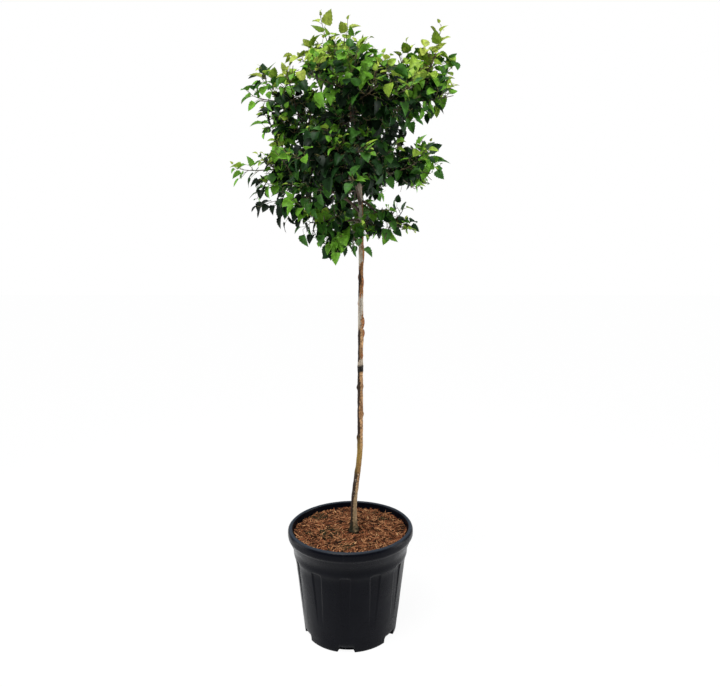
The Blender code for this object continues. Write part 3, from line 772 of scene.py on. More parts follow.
WHITE_LEVELS = np.array([  # (height, how much of the stem is white there, the direction of its white side)
    (0.30, -0.40, -90),
    (0.660, -0.40, -90),
    (0.667, 0.34, -80),
    (0.692, -0.10, -70),
    (0.705, -0.35, -90),
    (0.756, -0.35, -150),
    (0.766, 0.42, -150),
    (0.808, 0.42, -140),
    (0.822, 0.30, -95),
    (0.860, 0.15, -95),
    (0.872, -0.40, -120),
    (0.905, -0.30, -150),
    (0.922, 0.32, -170),
    (1.000, 0.42, -170),
    (1.100, 0.60, -150),
    (1.250, 0.20, -120),
    (1.350, -0.40, -90),
])


# %% The stem's shape
def trunk_radius(height):
    """A root flare at the foot, then a straight taper to the crown and a quicker one to the tip."""
    share = (height - TRUNK_BASE) / (CROWN_BASE - TRUNK_BASE)
    stem = STEM_FOOT_RADIUS + (STEM_HEAD_RADIUS - STEM_FOOT_RADIUS) * share
    flare = np.maximum(0.0, 1 - (height - TRUNK_BASE) / FLARE_HEIGHT)
    share = (height - CROWN_BASE) / (TRUNK_TIP - CROWN_BASE)
    leader = STEM_HEAD_RADIUS + (TRUNK_TIP_RADIUS - STEM_HEAD_RADIUS) * share
    return np.where(height < CROWN_BASE, stem + (FLARE_RADIUS - STEM_FOOT_RADIUS) * flare**2, leader)


def bark_paints(points, height, turn):
    """How much of each bark shows at a point. White has a usual share at each height, more or less of it on
    one side, and a ragged edge from the rumple."""
    ragged = rumple(points, 0.030, 21, (1, 1, 0.6)) * 0.30 + rumple(points, 0.009, 22, (1, 1, 1.6)) * 0.16
    share = np.interp(height, WHITE_LEVELS[:, 0], WHITE_LEVELS[:, 1])
    facing = np.radians(np.interp(height, WHITE_LEVELS[:, 0], WHITE_LEVELS[:, 2]))
    white = share + WHITE_SIDED * np.cos(turn - facing) + 0.8 * ragged - WHITE_START
    white = smooth_step(white / WHITE_EDGE)
    algae = smooth_step(1 - np.abs(height - ALGAE_LEVEL) / ALGAE_REACH)
    algae = algae * smooth_step(0.85 - 0.3 * np.cos(turn) + ragged)
    scar = smooth_step(1.6 - np.abs(height - sum(SCAR) / 2) / (SCAR[1] - SCAR[0]) * 2.2 + 0.5 * ragged)
    moss = smooth_step((TRUNK_BASE + MOSS_REACH - height + 0.04 * ragged) / 0.045)
    # painted shade: the side towards -X is darkened below SHADE_TOP, as if in shadow
    shade = smooth_step((-np.cos(turn) - 0.02 + ragged * 0.6) / 0.30)
    shade = shade * smooth_step((SHADE_TOP - height) / 0.02)
    foot = smooth_step((FOOT_TOP - height + 0.03 * ragged) / 0.06)
    rust = smooth_step((height - RUST_FOOT + 0.02 * ragged) / 0.03)
    leader = smooth_step((height - LEADER_FOOT + 0.03 * ragged) / 0.07)
    return {"white": white, "rust": rust, "leader": leader, "algae": algae, "scar": scar, "moss": moss,
            "shade": shade, "foot": foot}


trunk_line = curve_through(TRUNK_LINE, TRUNK_RINGS)
trunk_height = np.repeat(trunk_line[:, 2:3], TRUNK_SIDES, 1)
trunk_radii = trunk_radius(trunk_height)
trunk_skin = tube_points(trunk_line, trunk_radii, TRUNK_SIDES)
from_middle = trunk_skin - trunk_line[:, None]
trunk_turn = np.arctan2(from_middle[..., 1], from_middle[..., 0])  # seen from above
trunk_paints = bark_paints(trunk_skin, trunk_height, trunk_turn)
relief = BARK_RUMPLE[0] * rumple(trunk_skin, 0.028, 31)
relief = relief + BARK_RUMPLE[1] * rumple(trunk_skin, 0.010, 32, (1, 1, 3))
relief += WHITE_RISE * trunk_paints["white"] + SCAR_RISE * trunk_paints["scar"]
for degrees, level, stand, half in KNOBS:
    away = (trunk_turn - math.radians(degrees) + np.pi) % (2 * np.pi) - np.pi
    relief += stand * np.exp(-((away / KNOB_WIDTH) ** 2) - ((trunk_height - level) / half) ** 2)
root_ribs = np.clip(1 - (trunk_height - TRUNK_BASE) / (1.4 * FLARE_HEIGHT), 0, 1) ** 2
relief += root_ribs * ROOT_RIB_RISE * np.cos(ROOT_RIBS * trunk_turn + 0.8)
relief += root_ribs * ROOT_RUMPLE * rumple(trunk_skin, 0.012, 33)
trunk_skin = tube_points(trunk_line, trunk_radii + relief, TRUNK_SIDES)
trunk_skin[0, :, 2] = TRUNK_BASE
trunk_mesh = mesh_of("stem", trunk_skin.reshape(-1, 3), *tube_faces(1, TRUNK_RINGS, TRUNK_SIDES))

# %% [markdown]
# ### Birch bark
#
# The colours are blended in the order in which the layers lie: orange-brown bark streaked with darker bands
# and painted dark down one side as shade, the cream bark over it, the dark brown of the young leader, which
# is both its young bark and painted shade inside the crown, then algae, the black scar and moss at the foot.
# The level dark pores come last, because they go through every layer.


# %% Bark finish
def bark_look(name):
    """The bark of the stem: one colour laid over the other, each where its paint on the mesh says."""
    look = Look(name, {"Specular IOR Level": 0.20})
    streaks = look.noise(0.016, 5, (1, 1, 0.35), 0.6).band(0.36, 0.66)
    mottle = look.noise(0.006, 4, (1, 1, 1.6), 0.6)
    orange = look.blend(streaks, colour(128, 91, 56), colour(190, 150, 106))
    orange = look.blend(look.paint("rust") * 0.75, orange, colour(138, 92, 50))
    orange = look.blend(mottle.band(0.46, 0.60) * 0.75, orange, colour(84, 58, 38))
    orange = look.blend(look.paint("foot") * 0.6, orange, colour(142, 128, 100))
    # painted shade down the -X side of the orange bark
    orange = look.blend(look.paint("shade"), orange, colour(38, 25, 14))
    clouds = look.noise(0.020, 4, (1, 1, 0.5), 0.6).band(0.35, 0.70)
    cream = look.blend(clouds, colour(176, 168, 153), colour(134, 114, 92))
    cream = look.blend(look.noise(0.005, 3, (1, 1, 3)).band(0.52, 0.68) * 0.5, cream, colour(146, 128, 110))
    bark = look.blend(look.paint("white"), orange, cream)
    # the leader's dark brown is its young bark and also painted shade inside the crown
    bark = look.blend(look.paint("leader") * 0.9, bark, colour(60, 46, 34))
    bark = look.blend(look.paint("algae") * (0.45 + mottle * 0.7), bark, colour(134, 108, 46))
    bark = look.blend(look.paint("scar"), bark, colour(20, 16, 11))
    bark = look.blend(look.paint("moss") * (0.7 + mottle * 0.6), bark, colour(32, 32, 18))
    pores = look.noise(0.0042, 2, (0.5, 0.5, 3.6)).band(0.63, 0.70)
    look.finish(
        base_colour=look.blend(pores * 0.7, bark, colour(64, 46, 36)),
        roughness=0.58 + mottle * 0.26,
        normal=look.bump(mottle * 1.2 + look.noise(0.0022, 4, (1, 1, 3), 0.65) + pores * 0.6, 0.00055),
    )
    return look


bark = bark_look("birch_bark")
add_piece("stem", trunk_mesh, bark, ["trunk"], trunk_paints)

# %% [markdown]
# ### Curls of bark
#
# Where the outer bark lets go, it rolls back on itself in papery curls. A bump can't stand off the stem, so
# each curl is a small sheet: it leaves the stem at one edge, follows it for a while and then rolls
# outwards.


# %% Curls
def trunk_at(height):
    """The middle of the stem at a height, on the straight line between its two nearest points."""
    x, y = (np.interp(height, trunk_line[:, 2], trunk_line[:, k]) for k in range(2))
    return np.stack([x, y, height], -1)


CURL_ROWS = 9
CURL_COLUMNS = 7
CURLS = (  # (direction, height of its foot, its own height, angle that it reaches round, how far it rolls)
    (-40, 0.761, 0.030, 56, 0.0036),
    (-30, 0.738, 0.022, 44, 0.0040),
    (-60, 0.862, 0.034, 66, 0.0018),
    (120, 0.884, 0.020, 60, 0.0022),
    (-35, 0.925, 0.050, 40, 0.0022),
    (150, 0.716, 0.020, -66, 0.0014),
    (95, 0.812, 0.026, 70, 0.0050),
    (-70, 0.686, 0.014, 60, 0.0020),
    (60, 0.955, 0.020, -60, 0.0036),
    (250, 0.842, 0.016, 52, 0.0018),
)


def curl_points(degrees, foot, tall, reach, roll):
    """A sheet over u, the way round the stem, and v, the way up. Its distance from the stem grows as roll *
    u^2, and its free edge turns back past u = 0.6. It is widest halfway up and ragged above and below."""
    v, u = np.meshgrid(np.linspace(0, 1, CURL_ROWS), np.linspace(0, 1, CURL_COLUMNS), indexing="ij")
    wide = 0.35 + 0.65 * np.sin(np.pi * v) ** 0.5
    turn = np.radians(degrees + reach * u * wide * (1 - 0.45 * u * u))
    height = foot + tall * v + 0.25 * tall * (u - 0.3) * u
    away = trunk_radius(height) + 0.0003 + roll * (u * wide) ** 2
    middle = trunk_at(height)
    return middle + away[..., None] * np.stack([np.cos(turn), np.sin(turn), 0 * turn], -1)


curl_sheets = np.stack([curl_points(*curl) for curl in CURLS])
curl_grid = grid_faces(CURL_ROWS, CURL_COLUMNS, wrap=False)
curl_first = (np.arange(len(CURLS)) * CURL_ROWS * CURL_COLUMNS)[:, None, None]
curl_mesh = mesh_of("bark_curls", curl_sheets.reshape(-1, 3), (curl_grid[None] + curl_first).reshape(-1, 4))
curl_look = Look("curled_bark", {"Specular IOR Level": 0.3})
curl_patches = curl_look.noise(0.005, 4, (1, 1, 2)).band(0.4, 0.62)
curl_look.finish(
    base_colour=curl_look.blend(curl_patches, colour(168, 106, 56), colour(104, 66, 38)),
    roughness=0.62,
    normal=curl_look.bump(curl_look.noise(0.003, 3, (1, 1, 3)), 0.0003),
)
curls = add_piece("bark_curls", curl_mesh, curl_look)
paper = curls.modifiers.new("paper", "SOLIDIFY")
paper.thickness = 0.0003
paper.offset = 0.0

# %% [markdown]
# ### Boughs
#
# Each bough leaves the stem steeply and arches out to a point just inside its mass of foliage. Young birch
# wood is smooth, dark red-brown and dotted with pale pores. It has a swollen collar where it joins the
# stem. The same tube formula serves, with more rings than the plain model has.

# %% Where the masses of foliage are
class Space:
    """Where one mass grows: an ellipsoid, cut back where it meets the next mass. Its leaves keep to a leafy
    part, which may be smaller and off its middle."""

    def __init__(self, centre, half, fork, twigs, tips, hanging=(), fill=1.0, leafy=(0, 0, 0),
                 airy=1.0, tone=0.0):
        self.centre = Vector(centre)
        self.half = Vector(half)
        self.fork = fork  # height where its bough leaves the trunk, or None on the trunk's own tip
        self.twigs = twigs
        self.tips = [Vector(tip) for tip in tips]  # of its leading shoots
        self.hanging = [Vector(end) for end in hanging]  # ends of weak shoots under and between masses
        self.fill = fill  # size of the leafy part, as a share of the space
        self.leafy_centre = Vector(leafy)  # its middle, from the space's own, as shares of the half sizes
        self.airy = airy  # how much further apart its sprays are
        self.tone = tone  # how much paler its leaves are, on the scale of a spray's tint


MASSES = {
    "top": Space(
        centre=(-0.015, 0.000, 1.425), half=(0.150, 0.160, 0.105), fork=None, twigs=8,
        tips=[
            (-0.088, -0.015, 1.597), (-0.007, 0.010, 1.600), (0.054, -0.020, 1.524),
            (-0.040, 0.130, 1.530)],
        hanging=[(-0.126, -0.020, 1.486)],
        fill=0.84, leafy=(-0.15, 0.00, -0.14), airy=1.10, tone=0.05),
    "upper_right": Space(
        centre=(0.165, -0.020, 1.380), half=(0.120, 0.165, 0.110), fork=1.225, twigs=9,
        tips=[(0.239, -0.020, 1.562), (0.135, 0.000, 1.519), (0.278, -0.040, 1.437), (0.200, 0.170, 1.450)],
        hanging=[
            (0.222, -0.020, 1.480), (0.112, -0.070, 1.278), (0.128, -0.040, 1.285),
            (0.090, 0.085, 1.350)],
        fill=0.90, leafy=(-0.02, 0.00, -0.12)),
    "upper_left": Space(
        centre=(-0.155, -0.010, 1.330), half=(0.125, 0.175, 0.120), fork=1.205, twigs=9,
        tips=[
            (-0.214, -0.020, 1.447), (-0.284, -0.030, 1.379), (-0.160, 0.020, 1.469),
            (-0.200, -0.190, 1.380)],
        hanging=[
            (-0.140, -0.050, 1.252), (-0.200, -0.030, 1.256), (-0.110, 0.085, 1.370),
            (-0.105, 0.075, 1.280)],
        fill=0.87, leafy=(0.27, 0.00, -0.06), airy=1.20, tone=0.08),
    "upper_front": Space(
        centre=(0.010, -0.165, 1.325), half=(0.165, 0.115, 0.115), fork=1.180, twigs=8,
        tips=[(0.030, -0.290, 1.400)],
        hanging=[(0.105, -0.150, 1.285), (0.075, -0.105, 1.350), (0.065, -0.095, 1.270)],
        tone=-0.06),
    "upper_back": Space(
        centre=(0.000, 0.170, 1.335), half=(0.170, 0.115, 0.120), fork=1.195, twigs=8,
        tips=[(-0.060, 0.285, 1.430), (0.100, 0.270, 1.425)],
        hanging=[(0.110, 0.170, 1.260), (-0.075, 0.100, 1.400), (-0.080, 0.100, 1.290)],
        fill=0.95),
    "middle_left": Space(
        centre=(-0.160, -0.010, 1.160), half=(0.135, 0.170, 0.105), fork=CROWN_BASE, twigs=9,
        tips=[(-0.314, -0.030, 1.178), (-0.246, -0.040, 1.078), (-0.190, 0.180, 1.190)],
        hanging=[(-0.192, -0.040, 1.058), (-0.135, -0.080, 1.055), (-0.100, 0.080, 1.190)],
        fill=0.80, leafy=(0.24, 0.00, 0.18), airy=1.12, tone=0.03),
    "middle_right": Space(
        centre=(0.145, 0.000, 1.185), half=(0.110, 0.165, 0.090), fork=1.140, twigs=8,
        tips=[(0.247, 0.000, 1.177), (0.221, 0.020, 1.264), (0.180, -0.180, 1.200)],
        fill=0.80, leafy=(-0.12, 0.00, -0.04), airy=1.15, tone=0.08),
    "middle_front": Space(
        centre=(-0.010, -0.155, 1.165), half=(0.160, 0.115, 0.105), fork=1.085, twigs=8,
        tips=[(0.060, -0.270, 1.175)],
        hanging=[(0.075, -0.090, 1.190), (-0.080, -0.090, 1.180)],
        fill=0.96, leafy=(0.00, 0.00, 0.06), tone=-0.08),
    "middle_back": Space(
        centre=(0.000, 0.165, 1.165), half=(0.165, 0.120, 0.105), fork=1.100, twigs=8,
        tips=[(-0.090, 0.275, 1.200), (0.100, 0.265, 1.150)],
        hanging=[(-0.090, 0.120, 1.085), (-0.125, 0.095, 1.092), (0.080, 0.095, 1.190)],
        fill=0.88, leafy=(-0.10, 0.00, 0.12), airy=1.15),
    "lower_left": Space(
        centre=(-0.070, -0.040, 1.035), half=(0.095, 0.105, 0.095), fork=1.040, twigs=6,
        tips=[(-0.122, -0.050, 1.044), (-0.040, -0.060, 0.928)],
        hanging=[(-0.090, -0.065, 1.080), (0.022, -0.070, 1.000), (-0.040, -0.060, 0.965)],
        fill=0.72, leafy=(0.46, 0.00, -0.14), airy=1.30, tone=0.10),
    "lower_right": Space(
        centre=(0.100, -0.015, 1.042), half=(0.085, 0.100, 0.070), fork=1.095, twigs=6,
        tips=[(0.176, -0.030, 1.015), (0.153, -0.010, 1.102)],
        fill=0.78, leafy=(-0.22, 0.00, -0.20), airy=1.35, tone=0.10),
    "lower_back": Space(
        centre=(0.005, 0.095, 1.045), half=(0.105, 0.085, 0.080), fork=1.050, twigs=5,
        tips=[(-0.020, 0.170, 1.005)],
        fill=0.90, airy=1.20, tone=0.08),
}
print("masses:", len(MASSES), "leading shoots:", sum(len(space.tips) for space in MASSES.values()))

# %% Boughs
BOUGH_FOOT_RADIUS = 0.0040
BOUGH_TIP_RADIUS = 0.0024
BOUGH_ARCH = 0.25  # how far a bough bends up, as a share of its length
BOUGH_BEND = 0.45  # and how far along it does so
BOUGH_STOP = 0.62  # where it ends, between its mass's centre (0) and the edge of the space (1)
BOUGH_SHORTEST = 0.35  # and at least this share of the way to the centre
BOUGH_COLLAR = 0.0012  # how much thicker a bough is where it leaves the stem
BOUGH_COLLAR_REACH = 0.10  # as a share of its length
BOUGH_RUMPLE = (0.00022, 0.00010)
BOUGH_RINGS = 48
BOUGH_SIDES = 16


def bough_path(space, count):
    """The curve (1-t)^2 fork + 2t(1-t) bend + t^2 tip, whose bend lies above the straight line."""
    fork = Vector(trunk_at(space.fork))
    outward = space.centre - fork
    reach = Vector([way / half for way, half in zip(outward, space.half)]).length
    tip = fork + outward * max(BOUGH_SHORTEST, 1 - BOUGH_STOP / reach)
    bend = fork.lerp(tip, BOUGH_BEND)
    bend.z += BOUGH_ARCH * (tip - fork).length
    t = np.linspace(0, 1, count)[:, None]
    return np.array(fork) * (1 - t) ** 2 + np.array(bend) * 2 * t * (1 - t) + np.array(tip) * t * t


BRANCHED = {name: space for name, space in MASSES.items() if space.fork is not None}
bough_paths = np.stack([bough_path(space, BOUGH_RINGS) for space in BRANCHED.values()])
bough_taper = np.linspace(BOUGH_FOOT_RADIUS, BOUGH_TIP_RADIUS, BOUGH_RINGS)
bough_collar = BOUGH_COLLAR * np.exp(-((np.linspace(0, 1, BOUGH_RINGS) / BOUGH_COLLAR_REACH) ** 2))
bough_skin = tube_points(bough_paths, np.broadcast_to(bough_taper, bough_paths.shape[:2]), BOUGH_SIDES)
bough_relief = BOUGH_RUMPLE[0] * rumple(bough_skin, 0.018, 51)
bough_relief = bough_relief + BOUGH_RUMPLE[1] * rumple(bough_skin, 0.006, 52)
bough_radii = (bough_taper + bough_collar)[:, None] + bough_relief
bough_skin = tube_points(bough_paths, bough_radii, BOUGH_SIDES)
bough_faces = tube_faces(len(BRANCHED), BOUGH_RINGS, BOUGH_SIDES)
bough_mesh = mesh_of("boughs", bough_skin.reshape(-1, 3), *bough_faces)


def young_bark(name, dark, pale):
    """Smooth red-brown bark with small pale pores."""
    look = Look(name, {"Specular IOR Level": 0.45})
    patches = look.noise(0.012, 3).band(0.38, 0.66)
    pores = look.noise(0.0016, 1).band(0.66, 0.72)
    look.finish(
        base_colour=look.blend(pores * 0.5, look.blend(patches, dark, pale), colour(176, 150, 128)),
        roughness=0.50 + patches * 0.15,
        normal=look.bump(look.noise(0.0018, 3), 0.0003),
    )
    return look


bough_look = young_bark("bough_bark", colour(40, 30, 22), colour(78, 58, 42))
add_piece("boughs", bough_mesh, bough_look, ["bough_" + name for name in BRANCHED])

# %% [markdown]
# ## Foliage
#
# The plain model grows each mass by a rule: a stem goes on from the bough, side twigs leave it by the
# golden angle, and leading shoots run out to the crown's furthest tips. The rule is written again here with
# the same seeds, and it then goes one step finer: each twig carries sprays, thin twiglets with a few leaves
# each, and weak shoots fill the gaps under and between the masses. Leaves hang on stalks and turn their
# faces to the light. A twiglet or leaf that would leave its mass's space or touch a limb isn't grown.

# %% The rule's values, with lengths in metres and angles in radians
GOLDEN_ANGLE = math.radians(137.5)
TRIES = 12
CLEAR = 0.0015  # kept between foliage and limbs, and between two masses
LIMB_SPARE = 0.001  # kept from a limb besides
BOX_EDGE = 0.002
ANYWHERE = 9.0  # a share of the space that is never reached
CROWN_MIDDLE = Vector((-0.010, 0.0, 1.26))
CROWN_HALF = (0.29, 0.28, 0.32)

STEM_FOOT_LENGTH = 0.006  # straight start of a mass's stem
STEM_REACH = 0.55  # how far the stem runs on past the centre, as a share of the way there
STEM_EXTRA = 0.0004  # how much thicker than a twig's its foot is
TWIG_FOOT_RADIUS = 0.0021
TWIG_TIP_RADIUS = 0.0009
TWIG_SEGMENTS = 2
TWIG_BEND = (-0.05, 0.22)  # how far a twig's tip bends up, as a share of its length
TWIG_PLACES = (0.22, 0.74)  # where the first twig leaves the stem, and over how much of it they all do
TWIG_FORWARD = 0.35  # how far a twig leans along the stem and up
TWIG_LIFT = 0.15
TWIG_ROOM = 1.08  # share of the space that a twig keeps to
TWIG_SHRINK = 0.85

SHOOT_RADII = (0.0017, 0.0005)
SHOOT_END = 0.020  # from the shoot's end to the tip of its last leaf
SHOOT_SWING = 0.16  # how far its middle swings outwards, as a share of the way that it runs sideways
SHOOT_SAG = 0.06  # how far its middle sags, as a share of its length
SHOOT_LEAF_SCALE = 0.85
HANGING_YOUTH = 0.20  # how much paler the weak shoots are painted: partly their young growth, partly painted light against the shade they hang in

SPRAY_SPACING = 0.0120
SPRAY_LENGTH = (0.028, 0.068)
SPRAY_RADIUS = 0.0008
SPRAY_STEPS = (0, 0.34, 0.67, 1.0)
SPRAY_FORWARD = 0.7  # how far a spray leans along its twig and up
SPRAY_LIFT = 0.10
SPRAY_DROOP = (-0.30, 0.10)  # how far its tip bends up, as a share of its length
SPRAY_TRIES = 4
SPRAY_SHRINK = 0.7
SHOOT_SPRAY = 0.45  # length of a leading shoot's sprays, as a share of a twig's
SPRAYS_FROM = {"stem": 0.25, "twig": 0.12, "shoot": 0.30, "hanging": 0.20}  # where the first one leaves it
FILL = (0.64, 0.98)  # each spray keeps to a share of the space drawn from here, so the edge is ragged

LEAF_LENGTH = 0.032
LEAF_SIZES = (0.82, 1.15)  # as shares of that length
LEAF_SPACING = 0.0115
LEAF_SPREAD = (0.6, 1.15)  # angle from its twig
LEAF_HANG = (-1.0, -0.15)  # how far down a leaf points
YOUNG_HANG = (-0.5, 0.3)  # how far up or down a young one does
LEAF_OUTWARD = 0.35
LEAF_TRIES = 4
LEAF_TURN_ON = 0.9  # how much further round its twig a leaf is tried when it has no room
STALK_LENGTH = (0.008, 0.016)
STALK_LIFT = 0.25
STALK_OUTWARD = 0.2
LIGHT_WAY = Vector((-0.12, -0.30, 1.0))  # leaves turn their faces a little to the brighter side
FACE_OUTWARD = 0.40
FACE_SPREAD = 0.75  # how far a face strays from that, on each axis

YOUNG_REACH = 1.0
YOUNG_TRIES = 6
YOUNG_SHRINK = 0.88
YOUNG_WANDER = 0.35  # how far its direction strays, on each axis
YOUNG_RISE = 0.18  # how far its tip bends up, as a share of its length
YOUNG_LENGTH = (0.030, 0.065)
YOUNG_PLACES = (0.70, 0.85, 0.99)  # along a twig
YOUNG_LEAF_SPACING = 0.011

# A spray's tint picks its green. Apart from youth and chance it is painted light: paler high and far out as
# if sunlit, darker inside and below as painted shade.
TINT_OUT = 0.40  # painted light: how much paler a spray is at the crown's edge than at its middle
TINT_HIGH = (0.10, 0.42)  # painted light: how much paler at its top, by the height and by the square of the height
TINT_OVER = 0.25  # painted light: how much paler at the top of its own mass
TINT_YOUTH = 0.46  # at the tip of a shoot
TINT_SPREAD = 0.32  # how far sprays differ at random

# %% Tests of room
centres = np.array([space.centre for space in MASSES.values()])
sizes = np.array([sum(space.half) for space in MASSES.values()])
mass_names = list(MASSES)
box_low, box_high = np.array(plain_box[0]) + BOX_EDGE, np.array(plain_box[1]) - BOX_EDGE
limb_points = np.concatenate([trunk_line[::4], bough_paths[:, ::2].reshape(-1, 3)])
limb_radii = np.concatenate([trunk_radius(trunk_line[::4, 2]), np.tile(bough_taper[::2], len(BRANCHED))])


def in_cell(points, name):
    """On this mass's side of the plane between it and each other mass, by more than the clearance."""
    k = mass_names.index(name)
    between = np.delete(centres, k, 0) - centres[k]
    share = sizes[k] / (sizes[k] + np.delete(sizes, k))
    edges = centres[k] + between * share[:, None]
    return bool((((points[:, None] - edges) * unit(between)).sum(-1) <= -CLEAR).all())


def in_box(points):
    """Inside the plain model's box, with the edge of a leaf to spare."""
    return bool((points > box_low).all() and (points < box_high).all())


def in_ellipsoid(points, space, share=1.0):
    """Inside a share of the leafy part of the space, and of the whole space too."""
    away = (points - np.array(space.centre)) / np.array(space.half)
    leafy = ((away - np.array(space.leafy_centre)) ** 2).sum(1)
    return bool((leafy < (share * space.fill) ** 2).all() and ((away**2).sum(1) < 1.0).all())


def touches_limb(points):
    """Whether a point comes nearer to a limb's middle line than its radius and the clearance."""
    away = np.linalg.norm(points[:, None] - limb_points, axis=-1)
    return bool((away < limb_radii + CLEAR + LIMB_SPARE).any())


def point_on(path, share):
    """The point at a share of a path's length, and the direction of the path there."""
    place = share * (len(path) - 1)
    i = min(int(place), len(path) - 2)
    return path[i].lerp(path[i + 1], place - i), (path[i + 1] - path[i]).normalized()


def length_of(path):
    """The sum of the lengths of a path's pieces."""
    return sum((b - a).length for a, b in zip(path, path[1:]))


# %% Growing one mass
class Mass:
    """Grows the twigs, sprays and leaves of one mass inside its own space."""

    def __init__(self, name):
        self.name = name
        self.space = MASSES[name]
        self.rng = random.Random(name)
        self.fine = random.Random(name + " sprays")
        self.twigs = []  # (path, foot radius, tip radius)
        self.leaves = []  # (joint on the twig, root, direction, up, length, tint)

    def has_room(self, path, share):
        """Whether a path lies in the mass's cell, within a share of its ellipsoid, and clear of the
        limbs."""
        points = np.array(path)
        in_space = share == ANYWHERE
        in_space = in_space or (in_cell(points, self.name) and in_ellipsoid(points, self.space, share))
        inside = in_box(points) and in_space
        middles = (points[1:] + points[:-1]) / 2
        return inside and not touches_limb(np.concatenate([points, middles]))

    def make_stem(self, entry, heading):
        """The stem goes on from the bough's tip through the space's centre and some way past it."""
        centre = self.space.centre
        end = centre + (centre - entry) * STEM_REACH
        curve = curve_through([entry + heading * STEM_FOOT_LENGTH, centre, end], 4)
        stem = [entry, *(Vector(point) for point in curve)]
        self.twigs.append((stem, TWIG_FOOT_RADIUS + STEM_EXTRA, TWIG_TIP_RADIUS))
        return stem

    def side_twig(self, stem, k):
        """The k-th twig, turned from the last by the golden angle. It is tried shorter until it has
        room."""
        start, along = point_on(stem, TWIG_PLACES[0] + TWIG_PLACES[1] * k / self.space.twigs)
        turn = Matrix.Rotation(k * GOLDEN_ANGLE + self.rng.uniform(-0.4, 0.4), 3, along)
        side = (turn @ along.orthogonal()).normalized()
        direction = (side + along * TWIG_FORWARD + Vector((0, 0, TWIG_LIFT))).normalized()
        length = 1.1 * sum(half * abs(way) for half, way in zip(self.space.half, direction))
        for _ in range(TRIES):
            rise = self.rng.uniform(*TWIG_BEND)
            steps = [step / TWIG_SEGMENTS for step in range(TWIG_SEGMENTS + 1)]
            path = [start + direction * (length * t) + Vector((0, 0, rise * length * t * t)) for t in steps]
            if self.has_room(path, TWIG_ROOM):
                self.twigs.append((path, TWIG_FOOT_RADIUS, TWIG_TIP_RADIUS))
                return path
            length *= TWIG_SHRINK
        return None

    def add_shoot(self, stem, tip):
        """A slender shoot from the stem's nearest point, which ends so that its last leaf reaches the tip.
        It swings outwards and sags a little in its middle."""
        feet = [point_on(stem, share / 10)[0] for share in range(3, 10)]
        foot = min(feet, key=lambda point: (point - tip).length)
        end = tip - (tip - foot).normalized() * SHOOT_END
        bend = foot.lerp(end, 0.5) + SHOOT_SWING * Vector((end.x - foot.x, end.y - foot.y, 0))
        bend.z -= SHOOT_SAG * (end - foot).length
        path = [Vector(point) for point in curve_through([foot, bend, end], 7)]
        self.twigs.append((path, *SHOOT_RADII))
        return path

    def add_leaf(self, joint, along, turn, scale, shoot, tint, fill, stand=0.0):
        """A leaf on its stalk. It is turned a little further each time that it has no room."""
        outward = (joint - CROWN_MIDDLE).normalized()
        for attempt in range(LEAF_TRIES):
            spread = self.fine.uniform(*LEAF_SPREAD)
            around = Matrix.Rotation(turn + attempt * LEAF_TURN_ON, 3, along) @ along.orthogonal()
            way = (along * math.cos(spread) + around * math.sin(spread)).normalized()
            stalk = way + Vector((0, 0, STALK_LIFT)) + outward * STALK_OUTWARD
            root = joint + stalk.normalized() * self.fine.uniform(*STALK_LENGTH) * (0.5 + 0.5 * scale)
            blade = way + outward * LEAF_OUTWARD
            blade.z += self.fine.uniform(*YOUNG_HANG) + stand if shoot else self.fine.uniform(*LEAF_HANG)
            blade.normalize()
            length = LEAF_LENGTH * scale * self.fine.uniform(*LEAF_SIZES)
            tip = root + blade * length
            if self.has_room([root, tip], fill):
                up = LIGHT_WAY + outward * FACE_OUTWARD
                up += Vector([self.fine.uniform(-FACE_SPREAD, FACE_SPREAD) for _ in range(3)])
                self.leaves.append((joint, root, blade, up, length, tint))
                return

    def tint_of(self, point, youth):
        """How young a spray is and how much painted light it gets, from 0 for painted shade to 1 at the tips:
        high and far out is painted bright. The share of the way to the crown's edge counts by its square."""
        from_middle = point - CROWN_MIDDLE
        out = Vector([way / half for way, half in zip(from_middle, CROWN_HALF)]).length
        high = from_middle.z / CROWN_HALF[2]
        high = TINT_HIGH[0] * high + TINT_HIGH[1] * max(0.0, high) ** 2
        over = (point - self.space.centre).z / self.space.half.z
        high += TINT_OVER * max(-1.0, min(1.0, over))
        own = self.space.tone + self.fine.uniform(-TINT_SPREAD, TINT_SPREAD)
        return TINT_OUT * min(out, 1.1) ** 2 + high + TINT_YOUTH * youth + own

    def add_spray(self, joint, along, k, youth, shoot, fill):
        """A thin twiglet with leaves in two ranks and one at its end. They all share a tint."""
        turn = Matrix.Rotation(k * GOLDEN_ANGLE + self.fine.uniform(-0.5, 0.5), 3, along)
        side = (turn @ along.orthogonal()).normalized()
        direction = (side + along * SPRAY_FORWARD + Vector((0, 0, SPRAY_LIFT))).normalized()
        length = self.fine.uniform(*SPRAY_LENGTH) * (SHOOT_SPRAY if shoot else 1.0)
        tint = self.tint_of(joint, youth)
        for _ in range(SPRAY_TRIES):
            droop = Vector((0, 0, self.fine.uniform(*SPRAY_DROOP) * length))
            path = [joint + direction * (length * t) + droop * (t * t) for t in SPRAY_STEPS]
            if self.has_room(path[1:], fill):
                break
            length *= SPRAY_SHRINK
        else:
            return
        self.twigs.append((path, SPRAY_RADIUS, SPRAY_RADIUS * 0.6))
        count = max(1, round(length / LEAF_SPACING))
        scale = (SHOOT_LEAF_SCALE if shoot else 1.0) * (1 - 0.2 * youth)
        for n in range(count + 1):
            place, way = point_on(path, 0.25 + 0.74 * n / count)
            self.add_leaf(place, way, n * math.pi + self.fine.uniform(-0.5, 0.5), scale, shoot, tint, fill)

